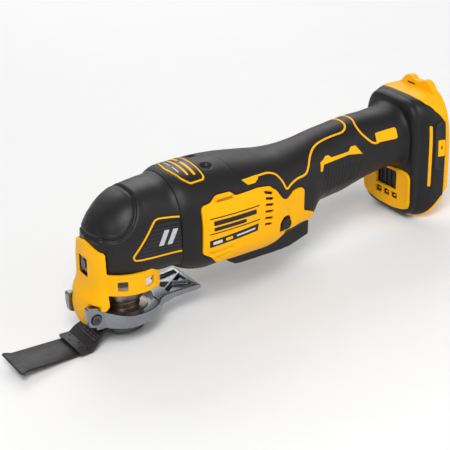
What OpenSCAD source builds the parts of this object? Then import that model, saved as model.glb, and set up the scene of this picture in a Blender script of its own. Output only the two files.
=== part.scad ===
// Cordless oscillating multi-tool, bare, with a plunge-cut blade in its clamp.
// Millimetres. The origin is on the spindle axis, where the clamp collar presses on
// the blade's hub. +Z runs up the spindle and +X runs back towards the battery end.

/* [Body shells] */
// Half width of the body over the motor
body_half_w = 36.5; // [35.5:0.25:38]
// Half width of the handle at its slimmest
handle_half_w = 21; // [20:0.25:23]
// Half width of the head over the spindle
head_half_w = 28.5; // [28:0.25:29.5]
// Half width of the battery foot
foot_half_w = 34.8; // [34:0.2:36]
// Thickness of the soft grip cover
grip_t = 1.8; // [1.2:0.1:2.2]
// Wall thickness of the clamshell under the grip cover
shell_t = 2.4; // [1.8:0.1:2.6]
// Where the head cover meets the grip covers, along X
head_seam_x = 30; // [29:0.25:31]

/* [Head] */
// Outer radius of the nose guard's band
guard_r = 28.8; // [28.5:0.1:29.5]
// Height of the band's lower edge
guard_z = 28.5; // [28:0.25:29]
// Height of the band's upper edge
guard_top_z = 43; // [42:0.25:44]
// Wall thickness of the nose guard
guard_t = 2.8; // [2.4:0.1:3]
// Thickness of the head cover
cover_t = 2.4; // [2:0.1:2.6]

/* [Spindle and clamp] */
// Radius of the spindle in its lower bearing and in the collar
spindle_r = 5; // [4.8:0.1:5]
// Radius of the spindle in its upper bearing
spindle_top_r = 3.5; // [3.2:0.1:3.6]
// Radius of the flange that carries the blade
flange_r = 14.5; // [13.5:0.25:15]
// Thickness of the blade's hub
hub_t = 2.5; // [2:0.1:2.8]
// Radius of the collar's pressing sleeve
collar_r = 12; // [11.5:0.1:12.2]
// Radius of the collar's lifting flange
collar_flange_r = 17.5; // [17:0.1:18]
// How far the lever lifts the collar
collar_lift = 5; // [4:0.1:5]
// Radial clearance of running fits
run_fit = 0.05; // [0.02:0.01:0.08]

/* [Clamp lever] */
// Distance of the lever's pivot in front of the spindle axis
pivot_x = 27.6; // [27:0.1:28]
// Height of the lever's pivot
pivot_z = 11.6; // [11:0.1:12]
// Radius of the lever's pivot pins
pivot_r = 2.5; // [2.2:0.1:2.8]
// Outer radius of the lever's ring
lever_r = 27; // [26.5:0.1:27.5]
// How far the lever's handle reaches behind the spindle axis
lever_len = 52; // [48:0.5:54]

/* [Drive] */
// Height of the motor axis
motor_z = 62; // [61.5:0.25:62.5]
// Radius of the motor's steel core
stator_r = 23; // [21:0.25:23.5]
// Radius of the motor shaft
shaft_r = 4; // [3.5:0.1:4]
// Offset of the eccentric journal from the motor axis
eccentric = 0.6; // [0.4:0.05:0.7]
// Distance from the spindle axis to the eccentric bearing's middle
eccentric_x = 21.5; // [21:0.1:22]
// Outer radius of the eccentric bearing
eccentric_r = 8; // [7.8:0.1:8]
// Half width of the fork's slot
fork_gap = 9.5; // [9.4:0.05:9.8]

/* [Blade] */
// Distance from the spindle axis to the blade's teeth
blade_reach = 82.75; // [70:0.25:90]
// Width of the blade's cutting end
blade_w = 31.5; // [28:0.5:35]
// Depth that the blade can plunge
blade_cut = 42.4; // [35:0.1:45]
// Drop from the clamp face to the blade's lower face
blade_drop = 13; // [12:0.1:13.5]
// Thickness of the blade
blade_t = 1.3; // [1:0.1:1.6]

/* [Trigger] */
// Half width of the trigger paddle
paddle_half_w = 14; // [13:0.25:14.2]
// Distance of the trigger's pivot behind the spindle axis
trigger_x = 80; // [79:0.25:81]
// Height of the trigger's pivot
trigger_z = 38; // [37:0.25:39]

/* [Battery foot] */
// Where the foot's black covers end, along X
foot_x = 248; // [247:0.25:249]
// Where the rail plate ends, along X
plate_x = 253; // [252:0.25:254]
// Half width of the battery channel
channel_half_w = 24; // [23:0.25:25]
// Where the floor of the battery channel lies, along X
channel_x = 243.5; // [243:0.25:244]

/* [Hidden] */

far = 60;
behind = 300;

// Body sections from front to back: x, top, bottom, height of the widest point,
// half width, roundness of the upper half, roundness of the lower half.
BODY = [
    [-25, 65, 40, 54, 1, 2.2, 4],
    [-23.5, 70, 38, 54, 10, 2.2, 4],
    [-19.5, 76, 37, 54, 17, 2.3, 4],
    [-12, 83, 36, 54, 23.5, 2.4, 4],
    [-3, 89, 36, 55, head_half_w - 1.3, 2.5, 4],
    [8, 92.3, 36, 56, head_half_w, 2.5, 3.8],
    [20, 94, 36, 58, head_half_w + 1, 2.5, 3.6],
    [28, 95, 36, 59, head_half_w + 2.5, 2.4, 3.3],
    [34, 97.8, 33, 60, head_half_w + 5, 2.4, 3.4],
    [46, 99, 30.5, 61, body_half_w - 0.8, 2.3, 3.6],
    [62, 99.5, 32.5, 62, body_half_w, 2.3, 3.8],
    [80, 98.8, 34.5, 63, body_half_w - 0.5, 2.3, 4.4],
    [100, 96.5, 35.5, 64, body_half_w - 3, 2.3, 5],
    [118, 94.5, 39, 66, body_half_w - 7, 2.3, 5],
    [132, 95, 41.5, 69, handle_half_w + 5.4, 2.2, 5],
    [140, 96, 43.5, 70, handle_half_w + 4.4, 2.2, 4.4],
    [146, 97.2, 48.5, 71.5, handle_half_w + 2.8, 2.2, 3],
    [150, 98.2, 49.8, 72.4, handle_half_w + 2, 2.2, 2.5],
    [158, 100, 50.5, 74, handle_half_w + 1.4, 2.2, 2.3],
    [172, 102.5, 52.5, 76, handle_half_w + 0.5, 2.2, 2.3],
    [190, 104.5, 57.5, 80, handle_half_w, 2.2, 2.3],
    [206, 105, 61.5, 82, handle_half_w + 1, 2.2, 2.3],
    [215, 105.8, 63, 82, handle_half_w + 2, 2.3, 2.4],
    [229, 108, 62, 84, handle_half_w + 6.5, 2.4, 2.5]];

// Battery foot sections in the same form.
FOOT = [
    [223.2, 104, 38, 70, 18, 3.6, 3.6],
    [223.8, 108, 33, 69, 22.5, 3.8, 4],
    [225.4, 111.5, 29, 68, 26.3, 4.1, 4.6],
    [229, 113.8, 26, 67, foot_half_w - 5.2, 4.3, 5],
    [236, 115.2, 24, 66, foot_half_w - 1.6, 4.4, 5.4],
    [foot_x, 115.5, 23, 66, foot_half_w, 4.2, 5.6]];

RING_POINTS = 28;
BODY_RINGS = 22;
FOOT_RINGS = 8;
nose_ease = 30;
rear_cut = 0.5;

// Screws that join the clamshell: x, z.
SCREWS = [[56, 90], [150, 59], [186, 68], [234, 104], [233.6, 34.4]];
screw_r = 1.6;
screw_head_r = 3.3;
screw_boss_r = 4.2;
screw_sink = 3;
screw_tip_y = -8;

// Slope of column k between two neighbouring sections.
function slope(t, i, k) = (t[i + 1][k] - t[i][k]) / (t[i + 1][0] - t[i][0]);
function gap(t, i) = t[i + 1][0] - t[i][0];
// Slope of column k at a section, weighted by the gaps on both sides.
function lean(t, i, k) = i == 0 ? slope(t, 0, k)
    : i == len(t) - 1 ? slope(t, i - 1, k)
    : (slope(t, i - 1, k) * gap(t, i) + slope(t, i, k) * gap(t, i - 1)) / (gap(t, i) + gap(t, i - 1));
function cell(t, x, i = 0) = i >= len(t) - 2 || x < t[i + 1][0] ? i : cell(t, x, i + 1);
// Column k at x, on a smooth curve through the sections.
function column(t, x, k) = let (i = cell(t, x), h = gap(t, i), u = (x - t[i][0]) / h)
    (2 * u ^ 3 - 3 * u ^ 2 + 1) * t[i][k] + (u ^ 3 - 2 * u ^ 2 + u) * h * lean(t, i, k)
    + (3 * u ^ 2 - 2 * u ^ 3) * t[i + 1][k] + (u ^ 3 - u ^ 2) * h * lean(t, i + 1, k);
function bulge(c, roundness) = sign(c) * abs(c) ^ (2 / roundness);
// One closed ring of the skin at x, set in by a distance.
function ring(t, x, inset, shift) = let (
    mid = column(t, x, 3),
    up = column(t, x, 1) - mid - inset,
    down = mid - column(t, x, 2) - inset,
    half = max(0.4, column(t, x, 4) - inset))
    [for (k = [0 : RING_POINTS - 1]) let (a = 360 * k / RING_POINTS, c = cos(a), s = sin(a),
        n = column(t, x, s >= 0 ? 5 : 6))
        [x + shift, half * bulge(c, n), mid + (s >= 0 ? up : down) * bulge(s, n)]];
function first(t) = t[0][0];
function last(t) = t[len(t) - 1][0];
// Ring positions, closer together at the front where the skin curves most.
function ring_x(t, i, count) = first(t) + (last(t) - first(t)) * (0.35 * (i / count) ^ 2 + 0.65 * i / count);
// Half width of the skin at a point of the side view.
function skin_y(t, x, z) = let (mid = column(t, x, 3), up = z >= mid,
    n = column(t, x, up ? 5 : 6),
    reach = up ? column(t, x, 1) - mid : mid - column(t, x, 2))
    column(t, x, 4) * (1 - (abs(z - mid) / reach) ^ n) ^ (1 / n);

module loft(t, inset, count) {
    ease = nose_ease;
    rings = [for (i = [0 : count]) let (x = ring_x(t, i, count),
        shift = i == count && inset > 0 ? rear_cut : inset * max(0, 1 - (x - first(t)) / ease))
        each ring(t, x, inset, shift)];
    n = RING_POINTS;
    polyhedron(rings, concat(
        [[for (k = [0 : n - 1]) k]],
        [[for (k = [n - 1 : -1 : 0]) count * n + k]],
        [for (i = [0 : count - 1], k = [0 : n - 1])
            [i * n + k, (i + 1) * n + k, (i + 1) * n + (k + 1) % n]],
        [for (i = [0 : count - 1], k = [0 : n - 1])
            [i * n + k, (i + 1) * n + (k + 1) % n, i * n + (k + 1) % n]]), convexity = 6);
}
module body_form(inset) loft(BODY, inset, BODY_RINGS);
module foot_form(inset) loft(FOOT, inset, FOOT_RINGS);
// The head's own skin is used ahead of the seam, and the rest behind it.
module outer_form(inset) {
    union() {
        body_form(inset);
        foot_form(inset);
    }
}

// Turns a free-form node into one mesh.
module as_mesh() resize([0, 0, 0]) children();
module before_x(x) translate([x - 400, -far, -far]) cube([400, 2 * far, 4 * far]);
module behind_x(x) translate([x, -far, -far]) cube([400, 2 * far, 4 * far]);
module side_half(side) translate([-100, side > 0 ? 0 : -far, -far]) cube([500, far, 4 * far]);
module box(low, high) translate(low) cube(high - low);
// A box on both sides of the middle plane.
module box_pair(low, high) {
    box(low, high);
    box([low[0], -high[1], low[2]], [high[0], -low[1], high[2]]);
}
module along_x(x0, x1, r, z = motor_z, y = 0)
    translate([x0, y, z]) rotate([0, 90, 0]) cylinder(r = r, h = x1 - x0, $fn = 64);
module along_y(x, z, y0, y1, r)
    translate([x, y0, z]) rotate([-90, 0, 0]) cylinder(r = r, h = y1 - y0, $fn = 48);
module along_z(z0, z1, r, x = 0, y = 0)
    translate([x, y, z0]) cylinder(r = r, h = z1 - z0, $fn = 64);
// Side-view outline (x, z) drawn across the width.
module prism_y(points, y0, y1)
    translate([0, y1, 0]) rotate([90, 0, 0]) linear_extrude(y1 - y0) polygon(points);
// End-view outline (y, z) drawn along the length.
module prism_x(points, x0, x1)
    translate([x0, 0, 0]) rotate([90, 0, 90]) linear_extrude(x1 - x0) polygon(points);
function both_sides(points) =
    concat(points, [for (i = [len(points) - 1 : -1 : 0]) [-points[i][0], points[i][1]]]);
// A tube along a list of points that lie in a plane of constant y.
module tube(points, r, sides = 8) {
    count = len(points);
    dir = [for (i = [0 : count - 1])
        points[min(i + 1, count - 1)] - points[max(i - 1, 0)]];
    rings = [for (i = [0 : count - 1]) let (d = dir[i] / norm(dir[i]), up = [-d[2], 0, d[0]])
        for (k = [0 : sides - 1]) let (a = 360 * k / sides)
            points[i] + r * (cos(a) * [0, 1, 0] + sin(a) * up)];
    polyhedron(rings, concat(
        [[for (k = [0 : sides - 1]) k]],
        [[for (k = [sides - 1 : -1 : 0]) (count - 1) * sides + k]],
        [for (i = [0 : count - 2], k = [0 : sides - 1])
            [i * sides + k, (i + 1) * sides + k, (i + 1) * sides + (k + 1) % sides,
                i * sides + (k + 1) % sides]]), convexity = 4);
}
// A coil spring with its axis along Z.
module coil(radius, wire_r, z0, z1, turns) {
    steps = 14;
    sides = 6;
    count = steps * turns;
    rise = (z1 - z0 - 2 * wire_r) / count;
    rings = [for (i = [0 : count]) let (a = 360 * i / steps)
        for (k = [0 : sides - 1]) let (b = 360 * k / sides, out = radius + wire_r * cos(b))
            [out * cos(a), out * sin(a), z0 + wire_r + rise * i + wire_r * sin(b)]];
    polyhedron(rings, concat(
        [[for (k = [sides - 1 : -1 : 0]) k]],
        [[for (k = [0 : sides - 1]) count * sides + k]],
        [for (i = [0 : count - 1], k = [0 : sides - 1])
            [i * sides + k, i * sides + (k + 1) % sides, (i + 1) * sides + (k + 1) % sides]],
        [for (i = [0 : count - 1], k = [0 : sides - 1])
            [i * sides + k, (i + 1) * sides + (k + 1) % sides, (i + 1) * sides + k]]), convexity = 8);
}

// ---------------------------------------------------------------- clamshell and covers

// Side panel of the clamshell, left bare by the grip covers.
PANEL = [[44, 79], [45.5, 82], [51, 83.5], [55, 86.5], [64, 87], [69, 84.5], [84, 85], [98, 83.6],
    [103, 80.5], [107, 75.5], [110, 72.5], [113.5, 70.6], [117, 71.5], [122, 74.8], [128, 74.4],
    [129.5, 72], [129.5, 56], [140.5, 51], [139.5, 45.5], [128, 47], [115, 45.5], [108, 42.5],
    [101, 37.2], [86, 36.6], [71, 37.4], [54, 38.5], [51, 42.5], [44, 47.5]];
// Trapezoid badge on each side of the head cover.
BADGE = [[-3.8, 55], [-3.4, 52.8], [-2, 51.8], [14, 51.8], [29.5, 52.6], [29.5, 76.2], [17, 77],
    [14, 76.6], [11.4, 75]];
// Label plate on top, seen from above: x, y.
LABEL = both_sides_x([[36, 8], [38.5, 17], [42.5, 21.5], [53, 21.5], [54.5, 19.5]]);
slot_x = [73.5, 145.5];
slot_half_w = 14.8;
slot_top_z = 52;
inlay_t = 1.2;
bolt_x = 112;
bolt_z = 51.5;
bolt_r = 4;
bolt_travel = 3;
bolt_end_y = 31.8;
wall = grip_t + shell_t;
rib_top_z = 80;
pin_end_y = 18;

module panel_form(outer, inner) {
    intersection() {
        difference() {
            body_form(outer);
            body_form(inner);
        }
        prism_y(PANEL, -far, far);
    }
}
module label_form(outer, inner, spare) {
    intersection() {
        difference() {
            body_form(outer);
            body_form(inner);
        }
        translate([0, 0, 80]) linear_extrude(30) offset(delta = spare) polygon(LABEL);
    }
}
// Plan of the foot's yellow cap, and side view of everything behind its slanted heel.
CAP_EDGE = [[233, 0], [233, 17], [235.5, 24.5], [240.5, 30], [250, 34.5], [250, 50]];
heel_top = [249.4, 45];
heel_low = [229.4, 21.4];
heel_t = [1.3, -1.1];
module cap_zone(spare) {
    for (side = [0, 1]) mirror([0, side, 0]) translate([0, 0, 90]) linear_extrude(40)
        polygon([for (p = concat(CAP_EDGE, [[260, 50], [260, 0]])) [p[0] - (p[0] < 251 ? spare : 0), p[1]]]);
}
// A point on the heel's side line, by its share of the way up and its steps out of the heel.
function heel_point(share, steps) = heel_low + share * (heel_top - heel_low) + steps * heel_t;
module behind_heel(steps) {
    low = heel_point(-0.5, steps);
    high = heel_point(2, steps);
    prism_y([high, low, [behind, low[1]], [behind, high[1]]], -far, far);
}
module trigger_slot() box([slot_x[0], -slot_half_w, 0], [slot_x[1], slot_half_w, slot_top_z]);
module channel_mouth()
    box([channel_x - 3, -channel_half_w - 0.6, 0], [plate_x + 5, channel_half_w + 0.6, 31]);
module screw_holes(r) for (s = SCREWS) along_y(s[0], s[1], 0, far, r);
function screw_seat(s) = skin_y(s[0] > first(FOOT) ? FOOT : BODY, s[0], s[1]) - screw_sink;

rib_t = 2;
RIBS = [50, 68];
// Thin walls inside a shell that hold the motor and its rear bearing, and the trigger pin's seats.
module motor_ribs() {
    intersection() {
        union() {
            for (x = RIBS) difference() {
                box([x, -far, 20], [x + rib_t, far, 110]);
                along_x(x - 1, x + rib_t + 1, stator_r + 0.1);
            }
            difference() {
                box([rear_bearing_x[0] + 2, -far, slot_top_z], [rear_bearing_x[0] + 4, far, rib_top_z]);
                along_x(rear_bearing_x[0], rear_bearing_x[1], upper_bearing_r + 0.05);
            }
            box_pair([trigger_x - 4, slot_half_w, 30], [trigger_x + 4, pin_end_y + 1.5, trigger_z + 4]);
        }
        body_form(grip_t + 0.5);
    }
}
module bosses() {
    for (s = SCREWS) intersection() {
        along_y(s[0], s[1], -far, far, screw_boss_r);
        outer_form(grip_t + 0.5);
    }
}
module housing(side) {
    as_mesh() intersection() {
        side_half(side);
        behind_x(head_seam_x + 1.5);
        before_x(foot_x);
        difference() {
            union() {
                difference() {
                    outer_form(grip_t);
                    outer_form(wall);
                }
                motor_ribs();
                panel_form(0.3, grip_t + 0.2);
                bosses();
            }
            trigger_slot();
            channel_mouth();
            behind_heel(0);
            along_x(20, 39.5, barrel_r + 0.3);
            along_y(bolt_x, bolt_z, -far, far, bolt_r + 0.4);
            along_y(trigger_x, trigger_z, -pin_end_y, pin_end_y, trigger_pin_r + 0.05);
            for (y = [-1, 1] * top_screw_y) {
                along_z(top_screw_z, 120, screw_head_r + 0.3, top_screw_x, y);
                along_z(top_screw_z - 5, top_screw_z + 1, screw_r + 0.15, top_screw_x, y);
            }
            for (s = SCREWS) {
                along_y(s[0], s[1], screw_tip_y - 1, far, screw_r + 0.15);
                along_y(s[0], s[1], screw_seat(s) - 2.2, far, screw_head_r + 0.3);
            }
        }
    }
}
module housing_left() color("gold") housing(1);
module housing_right() color("gold") housing(-1);

module grip(side) {
    as_mesh() intersection() {
        side_half(side);
        behind_x(head_seam_x + 0.2);
        before_x(foot_x);
        difference() {
            outer_form(0);
            outer_form(grip_t);
            along_y(trigger_x, trigger_z, -pin_end_y, pin_end_y, trigger_pin_r + 0.2);
            prism_y(PANEL, -far, far);
            label_form(-5, inlay_t + 0.05, 0.2);
            trigger_slot();
            channel_mouth();
            behind_heel(0);
            cap_zone(0);
            screw_holes(screw_head_r + 0.5);
            for (y = [-1, 1] * top_screw_y) along_z(90, 120, screw_head_r + 0.5, top_screw_x, y);
            bezel_zone(-3, bezel_sink);
        }
    }
}
module foot_cap() {
    color("gold") as_mesh() intersection() {
        before_x(foot_x);
        difference() {
            foot_form(0);
            foot_form(grip_t);
            screw_holes(screw_head_r + 0.5);
        }
        cap_zone(-0.05);
    }
}
module grip_left() color("dimgray") grip(1);
module grip_right() color("dimgray") grip(-1);

module housing_screws() {
    color("slategray") for (s = SCREWS) {
        along_y(s[0], s[1], screw_tip_y, screw_seat(s) - 2, screw_r);
        difference() {
            along_y(s[0], s[1], screw_seat(s) - 2, screw_seat(s), screw_head_r);
            along_y(s[0], s[1], screw_seat(s) - 1, screw_seat(s) + 1, 1.5);
        }
    }
}

// Label plate across the top, and the two screws behind it.
top_screw_x = 61;
top_screw_y = 10.5;
top_screw_z = 93.4;
module top_label() {
    color("orange") as_mesh() label_form(-0.2, inlay_t, 0);
}
module top_screws() {
    color("slategray") for (y = [-1, 1] * top_screw_y) {
        along_z(top_screw_z, top_screw_z + 2, screw_head_r, top_screw_x, y);
        along_z(top_screw_z - 2.4, top_screw_z, screw_r, top_screw_x, y);
    }
}

// Soft cover over the front of the gear case.
module head_cover() {
    color("dimgray") as_mesh() difference() {
        intersection() {
            body_form(0);
            before_x(head_seam_x);
        }
        intersection() {
            body_form(cover_t);
            before_x(head_seam_x + 1);
        }
        intersection() {
            along_z(0, far, guard_r + 0.3);
            prism_y(under_edge(0.2), -far, far);
        }
        box([-40, -23, 0], [-20, 23, guard_top_z + 0.2]);
        intersection() {
            difference() {
                body_form(-3);
                body_form(inlay_t + 0.05);
            }
            prism_y(BADGE, -far, far);
        }
    }
}
module side_badges() {
    color("goldenrod") as_mesh() intersection() {
        difference() {
            body_form(0);
            body_form(inlay_t);
        }
        prism_y(BADGE, -far, far);
        union() {
            box([-20, 14, 40], [40, 40, 90]);
            box([-20, -40, 40], [40, -14, 90]);
        }
        before_x(head_seam_x - 0.5);
    }
}

// ---------------------------------------------------------------- head

neck_r = 17;
case_r = 19.4;
case_top_r = 17.4;
cavity_r = 16.2;
barrel_r = 23;
case_cap_r = 11;
case_cap_z = 80;
lower_bearing = [30, 38];
upper_bearing = [73, 79];
lower_bearing_r = 13;
upper_bearing_r = 9.5;
lug_half_w = 7;
lug_r = 3.6;
lug_front = 25.2;

module gear_case() {
    color("silver") difference() {
        union() {
            along_z(29, 47, neck_r);
            along_z(41, 63, case_r);
            along_z(62, 70, case_top_r);
            along_z(70, case_cap_z, case_cap_r);
            along_x(2, 38, barrel_r);
            box([-lug_front, -lug_half_w, 29.3], [0, lug_half_w, 38]);
            box([-lug_front, -lug_half_w, pivot_z], [-21.5, lug_half_w, 30]);
            along_y(-pivot_x, pivot_z, -lug_half_w, lug_half_w, lug_r);
        }
        along_z(44, 68, cavity_r);
        along_x(0, 39, 19.5);
        along_z(28, lower_bearing[0], 9);
        along_z(lower_bearing[0], lower_bearing[1], lower_bearing_r);
        along_z(lower_bearing[1], 45, 10.5);
        along_z(upper_bearing[0], upper_bearing[1], upper_bearing_r);
        along_z(67, upper_bearing[0], 7.5);
        along_y(-pivot_x, pivot_z, -40, 40, pivot_r);
    }
}

// The guard's beak from the bottom up: height, front reach, half width, roundness in plan.
BEAK = [[1.5, 28, 8, 2.2], [3, 30, 11, 2.2], [7, 32.2, 16.4, 2.1], [12, 33.2, 19.6, 2.1],
    [20, 32.6, 22, 2.1], [25, 31.2, 21.6, 2.1], [29, 29.2, 20.4, 2.1], [33, 28.2, 19.6, 2.1],
    [38, 27.9, 19.4, 2.1], [46, 27.9, 19.4, 2.1], [54, 27.6, 18.8, 2], [62.5, 26.8, 17.8, 2]];
BEAK_STEPS = 24;
beak_back = 20;
beak_window_z = [37.8, 51];
beak_window_half_w = 5.8;
guide_z = [31.6, 38.4];
GUIDE_ANGLES = [75, 115];
arm_in_y = 11.6;
arm_out_y = 16.8;

module beak_form() {
    n = BEAK_STEPS + 1;
    count = len(BEAK);
    rings = [for (b = BEAK, k = [0 : BEAK_STEPS]) let (a = 90 - 180 * k / BEAK_STEPS)
        [-beak_back - (b[1] - beak_back) * bulge(cos(a), b[3]), b[2] * bulge(sin(a), b[3]), b[0]]];
    polyhedron(rings, concat(
        [[for (k = [0 : n - 1]) k]],
        [[for (k = [n - 1 : -1 : 0]) (count - 1) * n + k]],
        [for (i = [0 : count - 2], k = [0 : n - 1])
            [i * n + k, (i + 1) * n + k, (i + 1) * n + (k + 1) % n]],
        [for (i = [0 : count - 2], k = [0 : n - 1])
            [i * n + k, (i + 1) * n + (k + 1) % n, i * n + (k + 1) % n]]), convexity = 6);
}
module beak() {
    difference() {
        beak_form();
        // Sloping upper edge on both sides
        for (side = [0, 1]) mirror([0, side, 0])
            translate([-60, 0, 62.5]) rotate([-17, 0, 0]) cube([60, 40, 20]);
        // Sides cut back above the lever's arms
        for (side = [0, 1]) mirror([0, side, 0])
            prism_y([[-50, 0], [0, 0], [0, 18.3], [-25.3, 18.3], [-25.3, 21.8], [-50, 21.8]],
                arm_in_y - 0.3, 40);
        prism_y([[-23, 17], [-20, 21.4], [-19, 28], [0, 28], [0, 0], [-23, 0]], -far, far);
    }
}
// Rear limit of the band, where it runs into the body's underside.
band_end_x = 16.6;
// Side view of everything below the band's upper edge, level at the front and rising at the rear.
function under_edge(spare) = [[-far, guard_top_z + spare], [4, guard_top_z + spare],
    [24, guard_top_z + 2.6 + spare], [40, guard_top_z + 3 + spare], [40, 0], [-far, 0]];
module band() {
    difference() {
        intersection() {
            along_z(guard_z, guard_top_z + 4, guard_r);
            prism_y(under_edge(0), -far, far);
        }
        along_z(guard_z - 1, guard_top_z + 5, guard_r - guard_t);
        box([band_end_x, -far, 0], [far, far, 60]);
        box([-far, -16, 0], [-10, 16, 60]);
    }
}
module guides() {
    for (side = [0, 1], a = GUIDE_ANGLES) mirror([0, side, 0]) rotate([0, 0, a])
        box([20, -3.4, guide_z[0]], [36, 3.4, guide_z[1]]);
}
module nose_guard() {
    color("gold") as_mesh() difference() {
        union() {
            band();
            beak();
        }
        guides();
        // Room for the head cover above the band
        intersection() {
            body_form(-0.15);
            box([-40, -40, guard_top_z + 0.3], [0, 40, 90]);
        }
        along_z(guard_z - 1, guard_top_z + 0.4, guard_r - guard_t);
        along_x(0, 40, barrel_r + 0.3);
        // Room for the gear case's lug and the lamp
        box([-lug_front - 0.2, -lug_half_w - 0.2, pivot_z], [0, lug_half_w + 0.2, 38.3]);
        along_y(-pivot_x, pivot_z, -lug_half_w - 0.2, lug_half_w + 0.2, lug_r + 0.2);
        box([-26.6, -8, 37.2], [-20, 8, 52.8]);
        box([-40, -beak_window_half_w, beak_window_z[0]], [-25, beak_window_half_w, beak_window_z[1]]);
        box([-25, -lug_half_w - 0.2, 0], [0, lug_half_w + 0.2, 28]);
        along_y(-pivot_x, pivot_z, -40, 40, pivot_r + 0.1);
    }
}
module led_board() color("green") box([-25.9, -7.5, 39.8], [-25.1, 7.5, 52.6]);
module led_lens() {
    color("white") union() {
        box([-26.4, -5.2, 41.2], [-25.9, 5.2, 50.2]);
        along_x(-27.2, -26.4, 3, 45.8);
    }
}

module lever_pins() {
    color("black") for (side = [-1, 1]) scale([1, side, 1]) difference() {
        union() {
            along_y(-pivot_x, pivot_z, 4, arm_out_y - 1.2, pivot_r);
            along_y(-pivot_x, pivot_z, arm_out_y - 1.2, arm_out_y + 0.8, 3.4);
        }
        along_y(-pivot_x, pivot_z, arm_out_y - 0.4, arm_out_y + 2, 1.5);
    }
}

// ---------------------------------------------------------------- spindle and clamp

pin_circle_r = 10.2;
pin_r = 1.2;
cup_r = 14.4;
cup_z = [16.4, 28];
module spindle() {
    color("gray") union() {
        along_z(-hub_t - 3.5, -hub_t, flange_r);
        along_z(-hub_t, 72.6, spindle_r);
        along_z(72.6, 78.8, spindle_top_r);
        for (a = [45 : 90 : 315])
            along_z(-hub_t, -0.7, pin_r, pin_circle_r * cos(a), pin_circle_r * sin(a));
    }
}
module spring_cup() {
    color("dimgray") difference() {
        along_z(cup_z[0], cup_z[1], cup_r);
        along_z(cup_z[0] - 1, cup_z[1] - 1.6, collar_r + 0.7);
        along_z(0, 60, spindle_r);
    }
}
flange_z = [7.05, 10.4];
collar_z = [0, 15];
module clamp_collar() {
    color("rosybrown") difference() {
        union() {
            along_z(collar_z[0], collar_z[1], collar_r);
            along_z(flange_z[0], flange_z[1], collar_flange_r);
        }
        along_z(-1, 20, spindle_r + run_fit);
        // Room over the flange's pins
        difference() {
            along_z(-1, 0.8, pin_circle_r + pin_r + 0.3);
            along_z(-1, 0.9, pin_circle_r - pin_r - 0.3);
        }
        // Seat of the spring
        difference() {
            along_z(9, 16, collar_r - 1.2);
            along_z(8, 17, spindle_r + 1.4);
        }
    }
}
module clamp_spring() color("lightgray") coil(8.6, 0.9, 9.1, cup_z[1] - 1.7, 6);

fork_z = [56, 67.5];
module fork() {
    color("gray") difference() {
        union() {
            along_z(fork_z[0], fork_z[1], fork_gap + 3);
            box([-2, -fork_gap - 3, fork_z[0]], [25.2, fork_gap + 3, fork_z[1]]);
        }
        box([11, -fork_gap, 50], [30, fork_gap, 75]);
        along_x(8, 30, fork_gap);
        along_z(50, 75, spindle_r);
    }
}

// ---------------------------------------------------------------- clamp lever

ring_in_r = 20.6;
lift_pin_r = 1.5;
lever_tip_half_w = 17.2;
boss_r = 5.6;
// Side view of the ring and of the handle behind it.
RING_SIDE = [[-36, 3.8], [-6, 3.8], [4, 4.8], [18, 6.2], [28, 8], [28, 14.4], [8, 12.4], [-8, 12.6],
    [-15, 13.6], [-20, 15.2], [-24, 17.6], [-36, 17.6]];
HANDLE_SIDE = [[18, 7.6], [26, 9], [34, 10.6], [lever_len - 3, 12.4], [lever_len, 13.6],
    [lever_len, 15.4], [lever_len - 3, 16.3], [42, 15.4], [32, 14.6], [18, 14.2]];
HANDLE_PLAN = both_sides_x([[14, 21], [24, 15.6], [32, 14.6], [42, 15.4], [lever_len, lever_tip_half_w]]);
function both_sides_x(points) =
    concat(points, [for (i = [len(points) - 1 : -1 : 0]) [points[i][0], -points[i][1]]]);

// Side view of the block that stands up from each pivot boss.
EAR = [[-30, 6.2], [-33, 7.6], [-33.8, 12.4], [-34, 19.6], [-33, 21], [-26.2, 20], [-25.7, 19],
    [-25.7, 6.2]];
module lever_handle() {
    difference() {
        intersection() {
            prism_y(HANDLE_SIDE, -far, far);
            linear_extrude(40) polygon(HANDLE_PLAN);
        }
        // Hollow of the handle's upper side, with ribs left standing
        difference() {
            prism_y([[29, 12.2], [40, 13], [lever_len - 4.5, 14.2], [lever_len - 4.5, 25], [29, 25]],
                -12.6, 12.6);
            for (a = [-36, 36]) translate([38, 0, 0]) rotate([0, 0, a])
                box([-20, -1, 0], [20, 1, 30]);
        }
    }
}
module lever_body() {
    difference() {
        intersection() {
            prism_y(RING_SIDE, -far, far);
            union() {
                along_z(0, 30, lever_r);
                box_pair([-pivot_x, arm_in_y, 0], [-14, arm_out_y, 30]);
            }
        }
        along_z(0, 30, ring_in_r);
        box([-far, -arm_in_y, 0], [0, arm_in_y, 30]);
        // Round front end of each arm
        difference() {
            box([-40, -far, 0], [-pivot_x, far, 30]);
            along_y(-pivot_x, pivot_z, -far, far, boss_r);
        }
    }
    for (side = [0, 1]) mirror([0, side, 0]) {
        along_y(-pivot_x, pivot_z, arm_in_y, arm_out_y, boss_r);
        prism_y(EAR, arm_in_y, arm_out_y);
    }
}
module clamp_lever() {
    color("lightsteelblue") difference() {
        union() {
            lever_body();
            difference() {
                lever_handle();
                along_z(0, 30, ring_in_r);
            }
            for (side = [0, 1]) mirror([0, side, 0])
                along_y(0, flange_z[0] - 0.25 - lift_pin_r, 14.4, ring_in_r + 1, lift_pin_r);
        }
        along_y(-pivot_x, pivot_z, -40, 40, pivot_r + run_fit);
        along_y(-pivot_x, pivot_z, arm_out_y - 1.5, 40, 3.75);
        along_y(-pivot_x, pivot_z, -40, 1.5 - arm_out_y, 3.75);
    }
}

// ---------------------------------------------------------------- blade

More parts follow.
